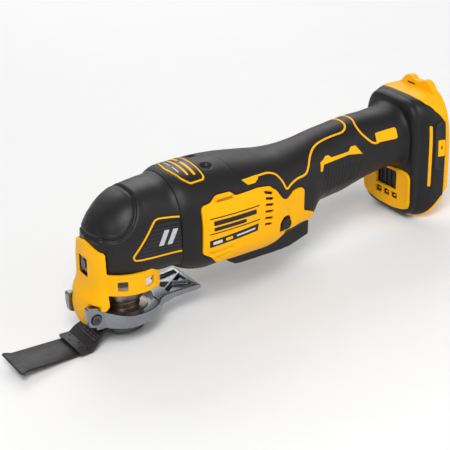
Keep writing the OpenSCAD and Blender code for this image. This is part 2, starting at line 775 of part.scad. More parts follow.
bracket_t = 2;
step_x = blade_cut - blade_reach;
bend_x = -32;
blade_top = blade_t - blade_drop;
tooth_pitch = 1.75;
tooth_depth = 1.4;
neck_half_w = 13.2;
TOOTH_COUNT = floor(blade_w / tooth_pitch);
function teeth() = [for (i = [0 : TOOTH_COUNT - 1], p = [0, 1])
    [-blade_reach + (p == 0 ? tooth_depth : 0), -blade_w / 2 + (i + p * 0.5) * tooth_pitch]];
module blade() {
    color("gray") translate([0, 0, -blade_drop]) linear_extrude(blade_t)
        polygon(concat(teeth(), [[-blade_reach + tooth_depth, blade_w / 2],
            [-blade_reach + 2.6, blade_w / 2], [-blade_reach + 6, neck_half_w],
            [bend_x + 1, neck_half_w], [bend_x + 1, -neck_half_w],
            [-blade_reach + 6, -neck_half_w], [-blade_reach + 2.6, -blade_w / 2]]));
}
module blade_bracket() {
    color("dimgray") difference() {
        union() {
            along_z(-hub_t, 0, 15);
            box([-19, -11.5, -hub_t], [0, 11.5, 0]);
            intersection() {
                prism_y([[step_x, blade_top], [bend_x, blade_top], [-20, -hub_t], [-18, -hub_t],
                    [-18, 0], [-21, 0], [bend_x - 1, blade_top + bracket_t],
                    [step_x, blade_top + bracket_t]], -far, far);
                linear_extrude(40, center = true) polygon(both_sides_x([[step_x, blade_w / 2],
                    [-29, blade_w / 2], [-23, 13], [-17, 11.5]]));
            }
        }
        // Open slot that lets the hub slide onto the spindle from the front
        box([0, -spindle_r - 0.2, -5], [20, spindle_r + 0.2, 5]);
        along_z(-5, 5, spindle_r + 0.2);
        for (a = [45 : 90 : 315])
            along_z(-5, 5, pin_r + 0.2, pin_circle_r * cos(a), pin_circle_r * sin(a));
    }
}

// ---------------------------------------------------------------- motor

core_x = [45, 75];
winding_x = [40.5, 79];
bracket_x = [30.5, 38];
front_bearing_r = 11;
rear_bearing_x = [92, 98];
board_x = [79.4, 81];
fan_x = [83.5, 89];
module motor_shaft() {
    color("silver") union() {
        along_x(26.5, 98.5, shaft_r);
        along_x(17.5, 26.5, shaft_r - 0.8, motor_z + eccentric);
    }
}
module eccentric_bearing() {
    color("silver") difference() {
        along_x(eccentric_x - 2.5, eccentric_x + 2.5, eccentric_r, motor_z + eccentric);
        along_x(eccentric_x - 4, eccentric_x + 4, shaft_r - 0.8, motor_z + eccentric);
    }
}
module counterweight() {
    color("goldenrod") difference() {
        along_x(26.7, 29.8, 11);
        along_x(26, 31, shaft_r);
        box([26, -12, motor_z + 5.5], [31, 12, motor_z + 12]);
    }
}
module motor_bracket() {
    color("silver") difference() {
        along_x(bracket_x[0], bracket_x[1], 19.5);
        along_x(bracket_x[0] - 1, bracket_x[1] - 7, 8);
        along_x(bracket_x[1] - 7, bracket_x[1] + 1, front_bearing_r);
    }
}
module bearing(x0, x1, outer, inner) {
    difference() {
        along_x(x0, x1, outer);
        along_x(x0 - 1, x1 + 1, inner);
    }
}
module front_motor_bearing()
    color("silver") bearing(bracket_x[1] - 7, bracket_x[1], front_bearing_r, shaft_r + run_fit);
module rear_motor_bearing()
    color("silver") bearing(rear_bearing_x[0], rear_bearing_x[1], upper_bearing_r, shaft_r + run_fit);
module stator() {
    color("slategray") difference() {
        along_x(core_x[0], core_x[1], stator_r);
        along_x(core_x[0] - 1, core_x[1] + 1, 13.2);
        // Slots between the teeth
        for (a = [0 : 60 : 300]) translate([0, 0, motor_z]) rotate([a, 0, 0])
            box([core_x[0] - 1, -3, 14.4], [core_x[1] + 1, 3, 19.5]);
    }
}
module windings() {
    color("chocolate") for (x = [winding_x[0], core_x[1] + 0.1])
        bearing(x, x + (x < 60 ? core_x[0] - winding_x[0] : winding_x[1] - core_x[1]) - 0.1, 20.5, 14.5);
}
module rotor_core() color("gray") bearing(core_x[0] - 1, core_x[1] + 1, 12.7, shaft_r);
module motor_board() color("green") bearing(board_x[0], board_x[1], 19.6, 7);
module fan() {
    color("black") translate([0, 0, motor_z]) union() {
        bearing_hub();
        for (a = [0 : 30 : 330]) rotate([a, 0, 0])
            box([fan_x[0] + 1.2, -0.6, 6.6], [fan_x[1], 0.6, 19]);
    }
}
module bearing_hub() {
    translate([0, 0, -motor_z]) {
        bearing(fan_x[0], fan_x[0] + 1.2, 19.2, shaft_r);
        bearing(fan_x[0] + 1.2, fan_x[1], 7, shaft_r);
    }
}
module lower_spindle_bearing() {
    color("silver") difference() {
        along_z(lower_bearing[0], lower_bearing[1], lower_bearing_r);
        along_z(lower_bearing[0] - 1, lower_bearing[1] + 1, spindle_r + run_fit);
    }
}
module upper_spindle_bearing() {
    color("silver") difference() {
        along_z(upper_bearing[0], upper_bearing[1], upper_bearing_r);
        along_z(upper_bearing[0] - 1, upper_bearing[1] + 1, spindle_top_r + run_fit);
    }
}

// ---------------------------------------------------------------- trigger and electrics

PADDLE = [[74.8, 27.5], [76, 25.4], [81.5, 22.2], [86, 21.6], [119, 23], [127, 24], [143, 29.6],
    [143.4, 39.6], [141, 44], [100, 42], [90, 40.7], [77, 40.5], [74.8, 36]];
trigger_pin_r = 1.5;
return_spring_x = 122;
module trigger() {
    color("dimgray") difference() {
        prism_y(PADDLE, -paddle_half_w, paddle_half_w);
        along_y(trigger_x, trigger_z, -30, 30, trigger_pin_r + run_fit);
        // Pocket for the return spring
        along_z(33, 50, 4.6, return_spring_x);
    }
}
module trigger_pin() color("silver")
    along_y(trigger_x, trigger_z, 0.02 - pin_end_y, pin_end_y - 0.02, trigger_pin_r);
module trigger_spring() color("lightgray") translate([return_spring_x, 0, 0]) coil(3.4, 0.5, 33.1, 58, 7);
module switch() {
    color("black") union() {
        box([103, -9, 61], [132, 9, 81]);
        along_z(58.2, 61, 4, return_spring_x);
    }
}
module lock_button() {
    color("black") union() {
        along_y(bolt_x, bolt_z, -bolt_end_y, bolt_end_y - bolt_travel, bolt_r - 0.6);
        along_y(bolt_x, bolt_z, -bolt_end_y, 1.4 - bolt_end_y, bolt_r);
    }
}
// Leads run along the inside of the handle, in round numbers.
POWER_ROUTE = [[132.3, 70], [140, 70.4], [156, 73], [175, 78], [195, 82], [210, 82.5], [221, 80],
    [229.2, 80]];
PHASE_ROUTE = [[82.1, 78], [82.3, 83], [88, 85], [98, 86], [120, 86], [145, 87], [175, 90], [205, 93],
    [220, 91], [229.2, 91]];
module power_leads() {
    color("red") for (y = [-5, 5]) tube([for (p = POWER_ROUTE) [p[0], y, p[1]]], 1.4);
}
module phase_leads() {
    color("blue") for (y = [-5, 0, 5]) tube([for (p = PHASE_ROUTE) [p[0], y, p[1]]], 1);
}
module control_module() {
    color("dimgray") difference() {
        box([229.5, -18, 44], [237.5, 18, 94]);
        for (y = [-15 : 5 : 15]) box([235, y - 1, 46], [240, y + 1, 92]);
    }
}

// ---------------------------------------------------------------- battery foot

bezel_sink = 1.2;
bezel_window_half_w = 11.4;
bezel_window_z = [43.4, 58.4];
BEZEL = both_sides([[12, 61], [22, 61], [25.6, 59.6], [26.6, 56], [26.6, 38], [25, 33.4], [20, 31.2],
    [8, 29]]);
module bezel_zone(outer, inner) {
    intersection() {
        difference() {
            foot_form(outer);
            foot_form(inner);
        }
        prism_x(BEZEL, 220, 234);
    }
}
module rear_bezel() {
    color("gold") as_mesh() difference() {
        bezel_zone(-0.7, bezel_sink - 0.05);
        body_form(-0.3);
        box([215, -bezel_window_half_w, bezel_window_z[0]],
            [240, bezel_window_half_w, bezel_window_z[1]]);
    }
}
BUMPER = [[238.4, 64], [foot_x - 0.2, 62], [foot_x - 0.2, 99], [244, 100], [240.4, 99], [238.2, 95.5]];
module side_bumpers() {
    color("dimgray") as_mesh() intersection() {
        difference() {
            foot_form(-1.2);
            foot_form(0);
        }
        prism_y(BUMPER, -far, far);
        union() {
            box([230, 30, 40], [260, 45, 100]);
            box([230, -45, 40], [260, -30, 100]);
        }
    }
}

// Outline of the rail plate, seen from behind.
PLATE_STEPS = 40;
plate_mid = 66;
plate_top = 53;
plate_bottom = 49;
plate_half_w = 33.6;
heel_half_w = 33.3;
heel_half_h = 41.6;
function plate_outline(grow) = [for (k = [0 : PLATE_STEPS - 1]) let (a = 360 * k / PLATE_STEPS,
    n = sin(a) >= 0 ? 3 : 3.5)
    [(plate_half_w + grow) * bulge(cos(a), n),
        plate_mid + ((sin(a) >= 0 ? plate_top : plate_bottom) + grow) * bulge(sin(a), n)]];
function heel_outline() = [for (k = [0 : PLATE_STEPS - 1]) let (a = 360 * k / PLATE_STEPS)
    [heel_half_w * bulge(cos(a), 5), plate_mid + heel_half_h * bulge(sin(a), 5)]];
// Two guide horns over the rail with a valley between them, seen from behind.
HORNS = both_sides([[18.6, 108], [18, 113.5], [15.8, 118.4], [12.6, 121.4], [9.4, 122.4], [6.2, 122],
    [4, 120.2]]);
terminal_z = [52, 86];
terminal_half_w = 12;
module battery_rail() {
    color("gold") union() {
        difference() {
            union() {
                prism_x(plate_outline(0), foot_x, plate_x);
                // Tray behind the channel's floor
                box([channel_x - 2.5, -channel_half_w - 1.8, 31], [foot_x, channel_half_w + 1.8, 98]);
                prism_x(HORNS, foot_x, plate_x);
                // Slanted wall under the heel
                intersection() {
                    prism_y([heel_point(0, 0), heel_point(1.1, 0), heel_point(1.1, 1), heel_point(0, 1)],
                        -far, far);
                    prism_x(heel_outline(), heel_low[0] - 5, plate_x);
                }
            }
            behind_heel(1);
            box([channel_x, -channel_half_w, 0], [plate_x + 5, channel_half_w, 96]);
            box([channel_x - 5, -terminal_half_w - 0.2, terminal_z[0] - 0.2],
                [channel_x + 1, terminal_half_w + 0.2, terminal_z[1] + 0.2]);
        }
        // Rails that hold the battery
        for (side = [0, 1]) mirror([0, side, 0])
            box([plate_x - 3.5, channel_half_w - 3.5, 47.5], [plate_x, channel_half_w + 1, 92]);
    }
}
module terminal_block() {
    color("dimgray") difference() {
        box([238.2, -terminal_half_w, terminal_z[0]], [channel_x + 6.5, terminal_half_w, terminal_z[1]]);
        for (y = [-9, -3, 3, 9])
            box([channel_x - 2, y - 1.2, terminal_z[0] - 1], [channel_x + 7, y + 1.2, terminal_z[1] - 4]);
    }
}
module terminals() {
    color("goldenrod") for (y = [-9, -3, 3, 9])
        box([channel_x - 2, y - 0.4, terminal_z[0] + 4], [channel_x + 5, y + 0.4, terminal_z[1] - 4]);
}

housing_left();
housing_right();
grip_left();
grip_right();
head_cover();
gear_case();
nose_guard();
side_badges();
top_label();
top_screws();
housing_screws();
rear_bezel();
side_bumpers();
foot_cap();
battery_rail();
terminal_block();
terminals();
control_module();
power_leads();
phase_leads();
switch();
motor_board();
stator();
windings();
motor_bracket();
front_motor_bearing();
rear_motor_bearing();
lower_spindle_bearing();
upper_spindle_bearing();
lever_pins();
led_board();
led_lens();
trigger_pin();
motor_shaft();
rotor_core();
fan();
counterweight();
eccentric_bearing();
spindle();
fork();
spring_cup();
blade_bracket();
blade();
clamp_collar();
clamp_spring();
clamp_lever();
trigger();
trigger_spring();
lock_button();
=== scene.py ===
"""Looks of a cordless oscillating multi-tool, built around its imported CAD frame.

Shapes are worked out in millimetres, in the frame of part.scad, and become metres
when a mesh is made. The origin is on the spindle axis, +X runs back to the battery
foot and +Z runs up the spindle. The near side is -Y.
"""
import math

import bmesh
import bpy
import numpy as np
from mathutils import Matrix, Vector
from mathutils.bvhtree import BVHTree


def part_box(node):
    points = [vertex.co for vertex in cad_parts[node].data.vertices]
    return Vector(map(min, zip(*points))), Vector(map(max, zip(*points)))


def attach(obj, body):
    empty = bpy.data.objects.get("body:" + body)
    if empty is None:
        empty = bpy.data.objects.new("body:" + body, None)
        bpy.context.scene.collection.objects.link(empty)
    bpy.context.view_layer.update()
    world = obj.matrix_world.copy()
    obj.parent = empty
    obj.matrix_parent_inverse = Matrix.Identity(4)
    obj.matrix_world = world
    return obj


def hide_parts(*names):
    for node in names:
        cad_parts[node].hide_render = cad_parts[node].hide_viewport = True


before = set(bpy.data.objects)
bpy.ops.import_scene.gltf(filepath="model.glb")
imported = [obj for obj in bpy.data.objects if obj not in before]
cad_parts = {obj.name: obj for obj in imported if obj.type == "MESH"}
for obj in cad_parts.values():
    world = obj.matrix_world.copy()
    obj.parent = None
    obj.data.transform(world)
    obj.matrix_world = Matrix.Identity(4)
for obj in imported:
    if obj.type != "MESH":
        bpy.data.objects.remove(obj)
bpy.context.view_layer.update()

MM = 0.001
SIDES = {"near": -1, "far": 1}

# ---- the tool's skin

HALF_BODY, HALF_HANDLE, HALF_HEAD, HALF_FOOT = 36.5, 21.0, 28.5, 34.8
SEAM_X = 30.0
HEAD_START = -24.95
FOOT_X = 248.0
MOTOR_Z, FOOT_Z = 62.0, 66.0
RING = 280

# Sections from front to back: x, top, bottom, height of the widest point, half width,
# roundness of the upper half, roundness of the lower half.
BODY = [
    (-25, 65, 40, 54, 1, 2.2, 4),
    (-23.5, 70, 38, 54, 10, 2.2, 4),
    (-19.5, 76, 37, 54, 17, 2.3, 4),
    (-12, 83, 36, 54, 23.5, 2.4, 4),
    (-3, 89, 36, 55, HALF_HEAD - 1.3, 2.5, 4),
    (8, 92.3, 36, 56, HALF_HEAD, 2.5, 3.8),
    (20, 94, 36, 58, HALF_HEAD + 1, 2.5, 3.6),
    (28, 95, 36, 59, HALF_HEAD + 2.5, 2.4, 3.3),
    (34, 97.8, 33, 60, HALF_HEAD + 5, 2.4, 3.4),
    (46, 99, 30.5, 61, HALF_BODY - 0.8, 2.3, 3.6),
    (62, 99.5, 32.5, 62, HALF_BODY, 2.3, 3.8),
    (80, 98.8, 34.5, 63, HALF_BODY - 0.5, 2.3, 4.4),
    (100, 96.5, 35.5, 64, HALF_BODY - 3, 2.3, 5),
    (118, 94.5, 39, 66, HALF_BODY - 7, 2.3, 5),
    (132, 95, 41.5, 69, HALF_HANDLE + 5.4, 2.2, 5),
    (140, 96, 43.5, 70, HALF_HANDLE + 4.4, 2.2, 4.4),
    (146, 97.2, 48.5, 71.5, HALF_HANDLE + 2.8, 2.2, 3),
    (150, 98.2, 49.8, 72.4, HALF_HANDLE + 2, 2.2, 2.5),
    (158, 100, 50.5, 74, HALF_HANDLE + 1.4, 2.2, 2.3),
    (172, 102.5, 52.5, 76, HALF_HANDLE + 0.5, 2.2, 2.3),
    (190, 104.5, 57.5, 80, HALF_HANDLE, 2.2, 2.3),
    (206, 105, 61.5, 82, HALF_HANDLE + 1, 2.2, 2.3),
    (215, 105.8, 63, 82, HALF_HANDLE + 2, 2.3, 2.4),
    (229, 108, 62, 84, HALF_HANDLE + 6.5, 2.4, 2.5)]
FOOT = [
    (223.2, 104, 38, 70, 18, 3.6, 3.6),
    (223.8, 108, 33, 69, 22.5, 3.8, 4),
    (225.4, 111.5, 29, 68, 26.3, 4.1, 4.6),
    (229, 113.8, 26, 67, HALF_FOOT - 5.2, 4.3, 5),
    (236, 115.2, 24, 66, HALF_FOOT - 1.6, 4.4, 5.4),
    (FOOT_X, 115.5, 23, 66, HALF_FOOT, 4.2, 5.6)]


def columns(table, x):
    """The section values at each x, on a smooth curve through the table."""
    t = np.array(table, float)
    x = np.atleast_1d(np.asarray(x, float))
    gap = np.diff(t[:, 0])
    slope = np.diff(t[:, 1:], axis=0) / gap[:, None]
    lean = np.vstack([slope[:1], (slope[:-1] * gap[1:, None] + slope[1:] * gap[:-1, None])
                      / (gap[1:] + gap[:-1])[:, None], slope[-1:]])
    i = np.clip(np.searchsorted(t[:, 0], x, side="right") - 1, 0, len(t) - 2)
    u = ((x - t[i, 0]) / gap[i])[:, None]
    h = gap[i][:, None]
    return ((2 * u ** 3 - 3 * u ** 2 + 1) * t[i, 1:] + (u ** 3 - 2 * u ** 2 + u) * h * lean[i]
            + (3 * u ** 2 - 2 * u ** 3) * t[i + 1, 1:] + (u ** 3 - u ** 2) * h * lean[i + 1])


def section_ring(c):
    """Evenly spaced (y, z) points round one section, from the bottom's middle and back."""
    fine = 1440
    a = np.radians(-90 + 360 * np.arange(fine + 1) / fine)
    top, bottom, mid, half, n_up, n_low = c
    s = np.sin(a)
    n = np.where(s >= 0, n_up, n_low)
    y = half * np.sign(np.cos(a)) * np.abs(np.cos(a)) ** (2 / n)
    z = mid + np.where(s >= 0, top - mid, mid - bottom) * np.sign(s) * np.abs(s) ** (2 / n)
    run = np.concatenate([[0], np.cumsum(np.hypot(np.diff(y), np.diff(z)))])
    at = np.linspace(0, run[-1], RING + 1)[:-1]
    return np.stack([np.interp(at, run, y), np.interp(at, run, z)], 1)


def loft(table, xs):
    """Grid of points (ring, place, xyz) on the table's skin."""
    return np.array([[(x, *p) for p in section_ring(c)] for x, c in zip(xs, columns(table, xs))])


def grid_faces(rings, count, flip=False):
    """Quads between neighbouring closed rings."""
    quads = []
    for i in range(rings - 1):
        for k in range(count):
            a, b = i * count + k, i * count + (k + 1) % count
            quads.append((a, b, b + count, a + count) if flip else (a, a + count, b + count, b))
    return quads


def grid_normals(grid):
    """Outward unit normals of a closed grid."""
    along = np.gradient(grid, axis=0)
    wrap = np.concatenate([grid[:, -1:], grid, grid[:, :1]], axis=1)
    across = (wrap[:, 2:] - wrap[:, :-2]) / 2
    n = np.cross(across, along)
    return n / np.maximum(np.linalg.norm(n, axis=2, keepdims=True), 1e-9)


# ---- mesh helpers

def millimetre_mesh(name, verts, faces):
    mesh = bpy.data.meshes.new(name)
    mesh.from_pydata([tuple(float(c) * MM for c in v) for v in verts], [], faces)
    return mesh


def face_outward(mesh):
    bm = bmesh.new()
    bm.from_mesh(mesh)
    bmesh.ops.recalc_face_normals(bm, faces=bm.faces)
    bm.to_mesh(mesh)
    bm.free()


def linked(name, data):
    obj = bpy.data.objects.new(name, data)
    bpy.context.scene.collection.objects.link(obj)
    return obj


def finished(obj, body, look, replaces=(), sharp_angle=60):
    """Makes obj a visible piece that rides on a body."""
    mesh = obj.data
    face_outward(mesh)
    mesh.materials.clear()
    mesh.materials.append(MAT[look])
    mesh.shade_smooth()
    mesh.set_sharp_from_angle(angle=math.radians(sharp_angle))
    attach(obj, body)
    if replaces:
        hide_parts(*replaces)


def new_piece(name, verts, faces, look, replaces=(), sharp_angle=60):
    """A piece of the housing from points in millimetres."""
    mesh = millimetre_mesh(name, verts, faces)
    mesh.validate()
    finished(linked(name, mesh), "housing", look, replaces, sharp_angle)


def applied(obj):
    """obj's modifiers become its mesh."""
    graph = bpy.context.evaluated_depsgraph_get()
    mesh = bpy.data.meshes.new_from_object(obj.evaluated_get(graph))
    obj.modifiers.clear()
    old, obj.data = obj.data, mesh
    bpy.data.meshes.remove(old)
    return obj


def scratch_solid(name, verts, faces):
    """A solid to cut with or to build on, which isn't a piece yet."""
    mesh = millimetre_mesh(name, verts, faces)
    face_outward(mesh)
    return linked(name, mesh)


def cad_copy(name, node):
    """A new object with the shape of a CAD node."""
    return linked(name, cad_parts[node].data.copy())


def modify(obj, kind, **settings):
    modifier = obj.modifiers.new(kind.lower(), kind)
    for name, value in settings.items():
        setattr(modifier, name, value)


def softened(obj, voxel, passes):
    """Remeshes obj finely and rounds its edges, as moulding or casting does."""
    modify(obj, "REMESH", mode="VOXEL", voxel_size=voxel * MM)
    modify(obj, "SMOOTH", factor=0.5, iterations=passes)
    return applied(obj)


def bevelled(obj, width, segments):
    """Rounds the sharp edges of obj by a width."""
    modify(obj, "WELD", merge_threshold=0.002 * MM)
    modify(obj, "DECIMATE", decimate_type="DISSOLVE", angle_limit=math.radians(0.5))
    modify(obj, "BEVEL", width=width * MM, segments=segments, limit_method="ANGLE",
           angle_limit=math.radians(35), harden_normals=False)
    return applied(obj)


def carve(obj, cutters, operation="DIFFERENCE"):
    """Booleans obj with each scratch cutter and removes the cutters."""
    for cutter in cutters:
        modify(obj, "BOOLEAN", operation=operation, solver="EXACT", object=cutter)
        applied(obj)
        mesh = cutter.data
        bpy.data.objects.remove(cutter)
        bpy.data.meshes.remove(mesh)


def prism(outline, low, high, axis):
    """Scratch solid: an outline in the other two axes, in order, drawn along X, Y or Z."""
    def put(p, h):
        return {"x": (h, p[0], p[1]), "y": (p[0], h, p[1]), "z": (p[0], p[1], h)}[axis]
    n = len(outline)
    verts = [put(p, low) for p in outline] + [put(p, high) for p in outline]
    faces = [tuple(range(n)), tuple(range(2 * n - 1, n - 1, -1))]
    faces += [(k, (k + 1) % n, n + (k + 1) % n, n + k) for k in range(n)]
    return scratch_solid("cutter", verts, faces)


def circle(radius, count=96):
    return [(radius * math.cos(2 * math.pi * k / count), radius * math.sin(2 * math.pi * k / count))
            for k in range(count)]


def rounded(points, radius, steps=5):
    """The closed outline with each corner rounded."""
    out = []
    n = len(points)
    for i in range(n):
        p = Vector(points[i])
        a, b = Vector(points[i - 1]) - p, Vector(points[(i + 1) % n]) - p
        reach = min(radius, a.length * 0.45, b.length * 0.45)
        start, end = p + a.normalized() * reach, p + b.normalized() * reach
        for k in range(steps + 1):
            t = k / steps
            out.append(tuple((1 - t) ** 2 * start + 2 * t * (1 - t) * p + t ** 2 * end))
    return out


def segment_distance(p, path, closed=False):
    """Distance of each 2D point to a polyline."""
    path = np.array(list(path) + ([path[0]] if closed else []), float)
    best = np.full(len(p), 1e9)
    for a, b in zip(path[:-1], path[1:]):
        ab = b - a
        t = np.clip(((p - a) @ ab) / max(ab @ ab, 1e-9), 0, 1)
        best = np.minimum(best, np.linalg.norm(p - a - t[:, None] * ab, axis=1))
    return best


def inside(p, outline):
    """Which 2D points lie inside a closed outline."""
    hit = np.zeros(len(p), bool)
    pts = np.array(outline, float)
    for (x0, y0), (x1, y1) in zip(pts, np.roll(pts, -1, axis=0)):
        cross = (y0 > p[:, 1]) != (y1 > p[:, 1])
        with np.errstate(divide="ignore", invalid="ignore"):
            at = (x1 - x0) * (p[:, 1] - y0) / (y1 - y0) + x0
        hit ^= cross & (p[:, 0] < at)
    return hit


def smooth_path(points, step=0.7):
    """A curve through the points, resampled evenly."""
    p = np.array(points, float)
    p = np.vstack([2 * p[0] - p[1], p, 2 * p[-1] - p[-2]])
    out = []
    for i in range(1, len(p) - 2):
        n = max(2, int(np.linalg.norm(p[i + 1] - p[i]) / step))
        for u in np.arange(n) / n:
            out.append(0.5 * (2 * p[i] + (p[i + 1] - p[i - 1]) * u
                              + (2 * p[i - 1] - 5 * p[i] + 4 * p[i + 1] - p[i + 2]) * u ** 2
                              + (3 * p[i] - p[i - 1] - 3 * p[i + 1] + p[i + 2]) * u ** 3))
    out.append(p[-2])
    return np.array(out)


# ---- materials

def set_inputs(node, **values):
    for socket, value in values.items():
        node.inputs[socket.replace("_", " ")].default_value = value


class Surface:
    """A material's node tree. Noise is in the object's own space, in cycles per metre."""

    def __init__(self, name):
        self.material = bpy.data.materials.new(name)
        self.material.use_nodes = True
        self.nodes = self.material.node_tree.nodes
        self.links = self.material.node_tree.links
        self.shader = self.nodes["Principled BSDF"]

    def feed(self, socket, source):
        self.links.new(source, self.shader.inputs[socket])

    def noise(self, scale, detail, rough=0.5, stretch=(1, 1, 1)):
        where = self.nodes.new("ShaderNodeTexCoord")
        place = self.nodes.new("ShaderNodeMapping")
        set_inputs(place, Scale=stretch)
        tex = self.nodes.new("ShaderNodeTexNoise")
        set_inputs(tex, Scale=scale, Detail=detail, Roughness=rough)
        self.links.new(where.outputs["Object"], place.inputs["Vector"])
        self.links.new(place.outputs["Vector"], tex.inputs["Vector"])
        return tex.outputs["Fac"]

    def spread(self, source, low, high):
        """Maps the middle of a 0 to 1 signal to a range."""
        ramp = self.nodes.new("ShaderNodeMapRange")
        set_inputs(ramp, From_Min=0.3, From_Max=0.7, To_Min=low, To_Max=high)
        self.links.new(source, ramp.inputs["Value"])
        return ramp.outputs["Result"]

    def two_tone(self, source, color, variation):
        """Base colour that drifts between darker and lighter."""
        mix = self.nodes.new("ShaderNodeMix")
        mix.data_type = "RGBA"
        for socket, factor in (("A", 1 - variation), ("B", 1 + variation)):
            mix.inputs[socket].default_value = (*(min(1.0, c * factor) for c in color), 1)
        self.links.new(self.spread(source, 0, 1), mix.inputs["Factor"])
        self.feed("Base Color", mix.outputs["Result"])

    def bump(self, source, strength, distance):
        node = self.nodes.new("ShaderNodeBump")
        set_inputs(node, Strength=strength, Distance=distance * MM)
        self.links.new(source, node.inputs["Height"])
        self.feed("Normal", node.outputs["Normal"])


def moulded(name, color, rough, grain=1400, grain_depth=0.03, spec=0.5, variation=0.08):
    """Moulded plastic or rubber: fine grain, cloudy gloss and slight colour drift."""
    look = Surface(name)
    look.two_tone(look.noise(28, 5, 0.6), color, variation)
    look.feed("Roughness", look.spread(look.noise(95, 6, 0.65), rough - 0.05, rough + 0.06))
    look.bump(look.noise(grain, 3, 0.6), 0.35, grain_depth)
    set_inputs(look.shader, Specular_IOR_Level=spec)
    return look.material


def metal(name, color, rough, brush=(1, 1, 1), scale=900, depth=0.02, wear=0.12, metallic=1.0):
    """Metal with fine machining or casting marks, cloudy gloss and handling marks."""
    look = Surface(name)
    look.two_tone(look.noise(60, 6, 0.6), color, wear)
    look.feed("Roughness", look.spread(look.noise(160, 8, 0.7), rough - 0.08, rough + 0.12))
    look.bump(look.noise(scale, 4, 0.6, brush), 0.4, depth)
    set_inputs(look.shader, Metallic=metallic)
    return look.material


def glass(name):
    look = Surface(name)
    look.feed("Roughness", look.spread(look.noise(700, 4), 0.08, 0.2))
    # The dark brown base colour makes the lens read dark in the beak's window: painted shade
    set_inputs(look.shader, Base_Color=(0.30, 0.25, 0.22, 1), Transmission_Weight=0.85, IOR=1.49)
    return look.material


YELLOW = (0.98, 0.46, 0.0)
MAT = {
    "yellow": moulded("yellow_plastic", YELLOW, 0.36, 1500, 0.012, 0.14, 0.03),
    "yellow_rough": moulded("yellow_satin_plastic", YELLOW, 0.46, 900, 0.03, 0.18, 0.04),
    "yellow_line": moulded("yellow_inlay", YELLOW, 0.4, 1500, 0.01, 0.16, 0.03),
    "grip": moulded("black_soft_grip", (0.0085, 0.0078, 0.0080), 0.46, 1800, 0.04, 0.32, 0.12),
    "boot": moulded("black_head_boot", (0.0095, 0.0085, 0.0085), 0.42, 1500, 0.03, 0.36, 0.12),
    "black": moulded("black_plastic", (0.0075, 0.007, 0.0075), 0.38, 1200, 0.02, 0.4, 0.15),
    "badge_rib": moulded("badge_rib_black", (0.03, 0.028, 0.031), 0.4, 1200, 0.01, 0.4, 0.1),
    # Dark orange for the vent opening under the panel's tab: painted shadow
    "yellow_painted_shadow": moulded("yellow_shadow", (0.45, 0.17, 0.0), 0.5, 1200, 0.01, 0.2, 0.05),
    "badge": moulded("badge_black", (0.0085, 0.008, 0.009), 0.34, 1200, 0.01, 0.35, 0.1),
    "silver_print": moulded("silver_print", (0.50, 0.51, 0.53), 0.4, 900, 0.01, 0.5, 0.05),
    "pale_print": moulded("pale_print", (0.62, 0.60, 0.55), 0.45, 900, 0.01, 0.5, 0.04),
    "steel": metal("machined_steel", (0.46, 0.46, 0.47), 0.3),
    "dark_steel": metal("dark_oxide_steel", (0.10, 0.10, 0.105), 0.38),
    "alloy": metal("cast_alloy", (0.27, 0.28, 0.305), 0.30, scale=500, depth=0.05),
    "bronze": metal("bronze_steel", (0.36, 0.29, 0.25), 0.32),
    # Near-black base colour for the gear case, so that it reads dark through the guard's windows:
    # painted shade on cast alloy
    "alloy_painted_shade": metal("cast_alloy_painted_shade", (0.10, 0.085, 0.08), 0.34, scale=500, depth=0.05),
    "blade_print": moulded("blade_print", (0.075, 0.07, 0.07), 0.5, 900, 0.01, 0.3, 0.1),
    "blade": metal("coated_blade_steel", (0.020, 0.0185, 0.020), 0.45, (1, 12, 1), 400, 0.02,
                   0.2, 0.35),
    "brass": metal("brass", (0.60, 0.42, 0.15), 0.3),
    "board": moulded("circuit_board", (0.02, 0.13, 0.05), 0.4, 300, 0.03),
    "copper": metal("copper_windings", (0.60, 0.25, 0.10), 0.35, (1, 14, 14), 240, 0.3),
    "core": metal("stacked_core_steel", (0.16, 0.165, 0.18), 0.4, (60, 1, 1), 60, 0.1),
    "red": moulded("red_lead", (0.40, 0.02, 0.015), 0.45),
    "blue": moulded("blue_lead", (0.02, 0.06, 0.35), 0.45),
    "spring": metal("spring_wire", (0.5, 0.5, 0.52), 0.22),
    "lens": glass("lamp_lens_painted_shade"),
    "floor": moulded("pale_floor", (0.86, 0.86, 0.86), 0.75, 60, 0.02, 0.2, 0.006),
}

# ---- flat outlines on the skin

PANEL = rounded([
    (43.6, 78.4), (45.2, 80.6), (51, 81.6), (55.8, 85.4), (66.9, 85.6), (69.8, 82.6), (89, 83.2),
    (98.6, 81.9), (104.6, 78.2), (107.8, 73.2), (110, 70.4), (112.8, 68.8), (116, 70.4),
    (119.6, 73.3), (126.8, 73.8), (129.6, 71.6), (129.3, 56), (140.5, 51), (139.5, 45.5),
    (128, 47), (115, 45.5), (108, 42.5), (101, 37.2), (86, 36.6), (70, 37.4), (54.6, 38),
    (49, 44.4), (43, 47.8)], 1.6, 3)
CREASE = [(103, 80), (108.1, 72.2), (112.6, 67.2), (116.4, 61.5), (116.8, 55.5), (113, 47)]
LEDGES = [[(49, 46.4), (65, 48.2)], [(53, 42), (64, 44.2)]]
POCKET = rounded([
    (105.6, 47.4), (106.2, 53.9), (109.8, 57.6), (114.6, 57), (117.4, 54), (117, 50.2),
    (114.1, 45.6), (108, 46)], 1.6, 3)
BADGE = rounded([
    (-3.8, 55), (-3.0, 52.0), (14, 51.8), (29.2, 52.6), (29.2, 76.2), (17, 77),
    (11.9, 75.6)], 1.8, 4)
BADGE_RIM = [
    (29.3, 76.2), (17, 77), (13.6, 76.6), (11.4, 74.9), (5, 66.4), (-3, 56.2), (-3.9, 54.2),
    (-3.2, 52.6), (-0.5, 51.9), (14, 51.9), (29.3, 52.7)]
LABEL = rounded([
    (36, -8), (34.8, 0), (36, 8), (38.5, 17), (42.5, 21.5), (53, 21.5), (54.5, 19.5), (54.5, -19.5),
    (53, -21.5), (42.5, -21.5), (38.5, -17)], 1.2, 3)
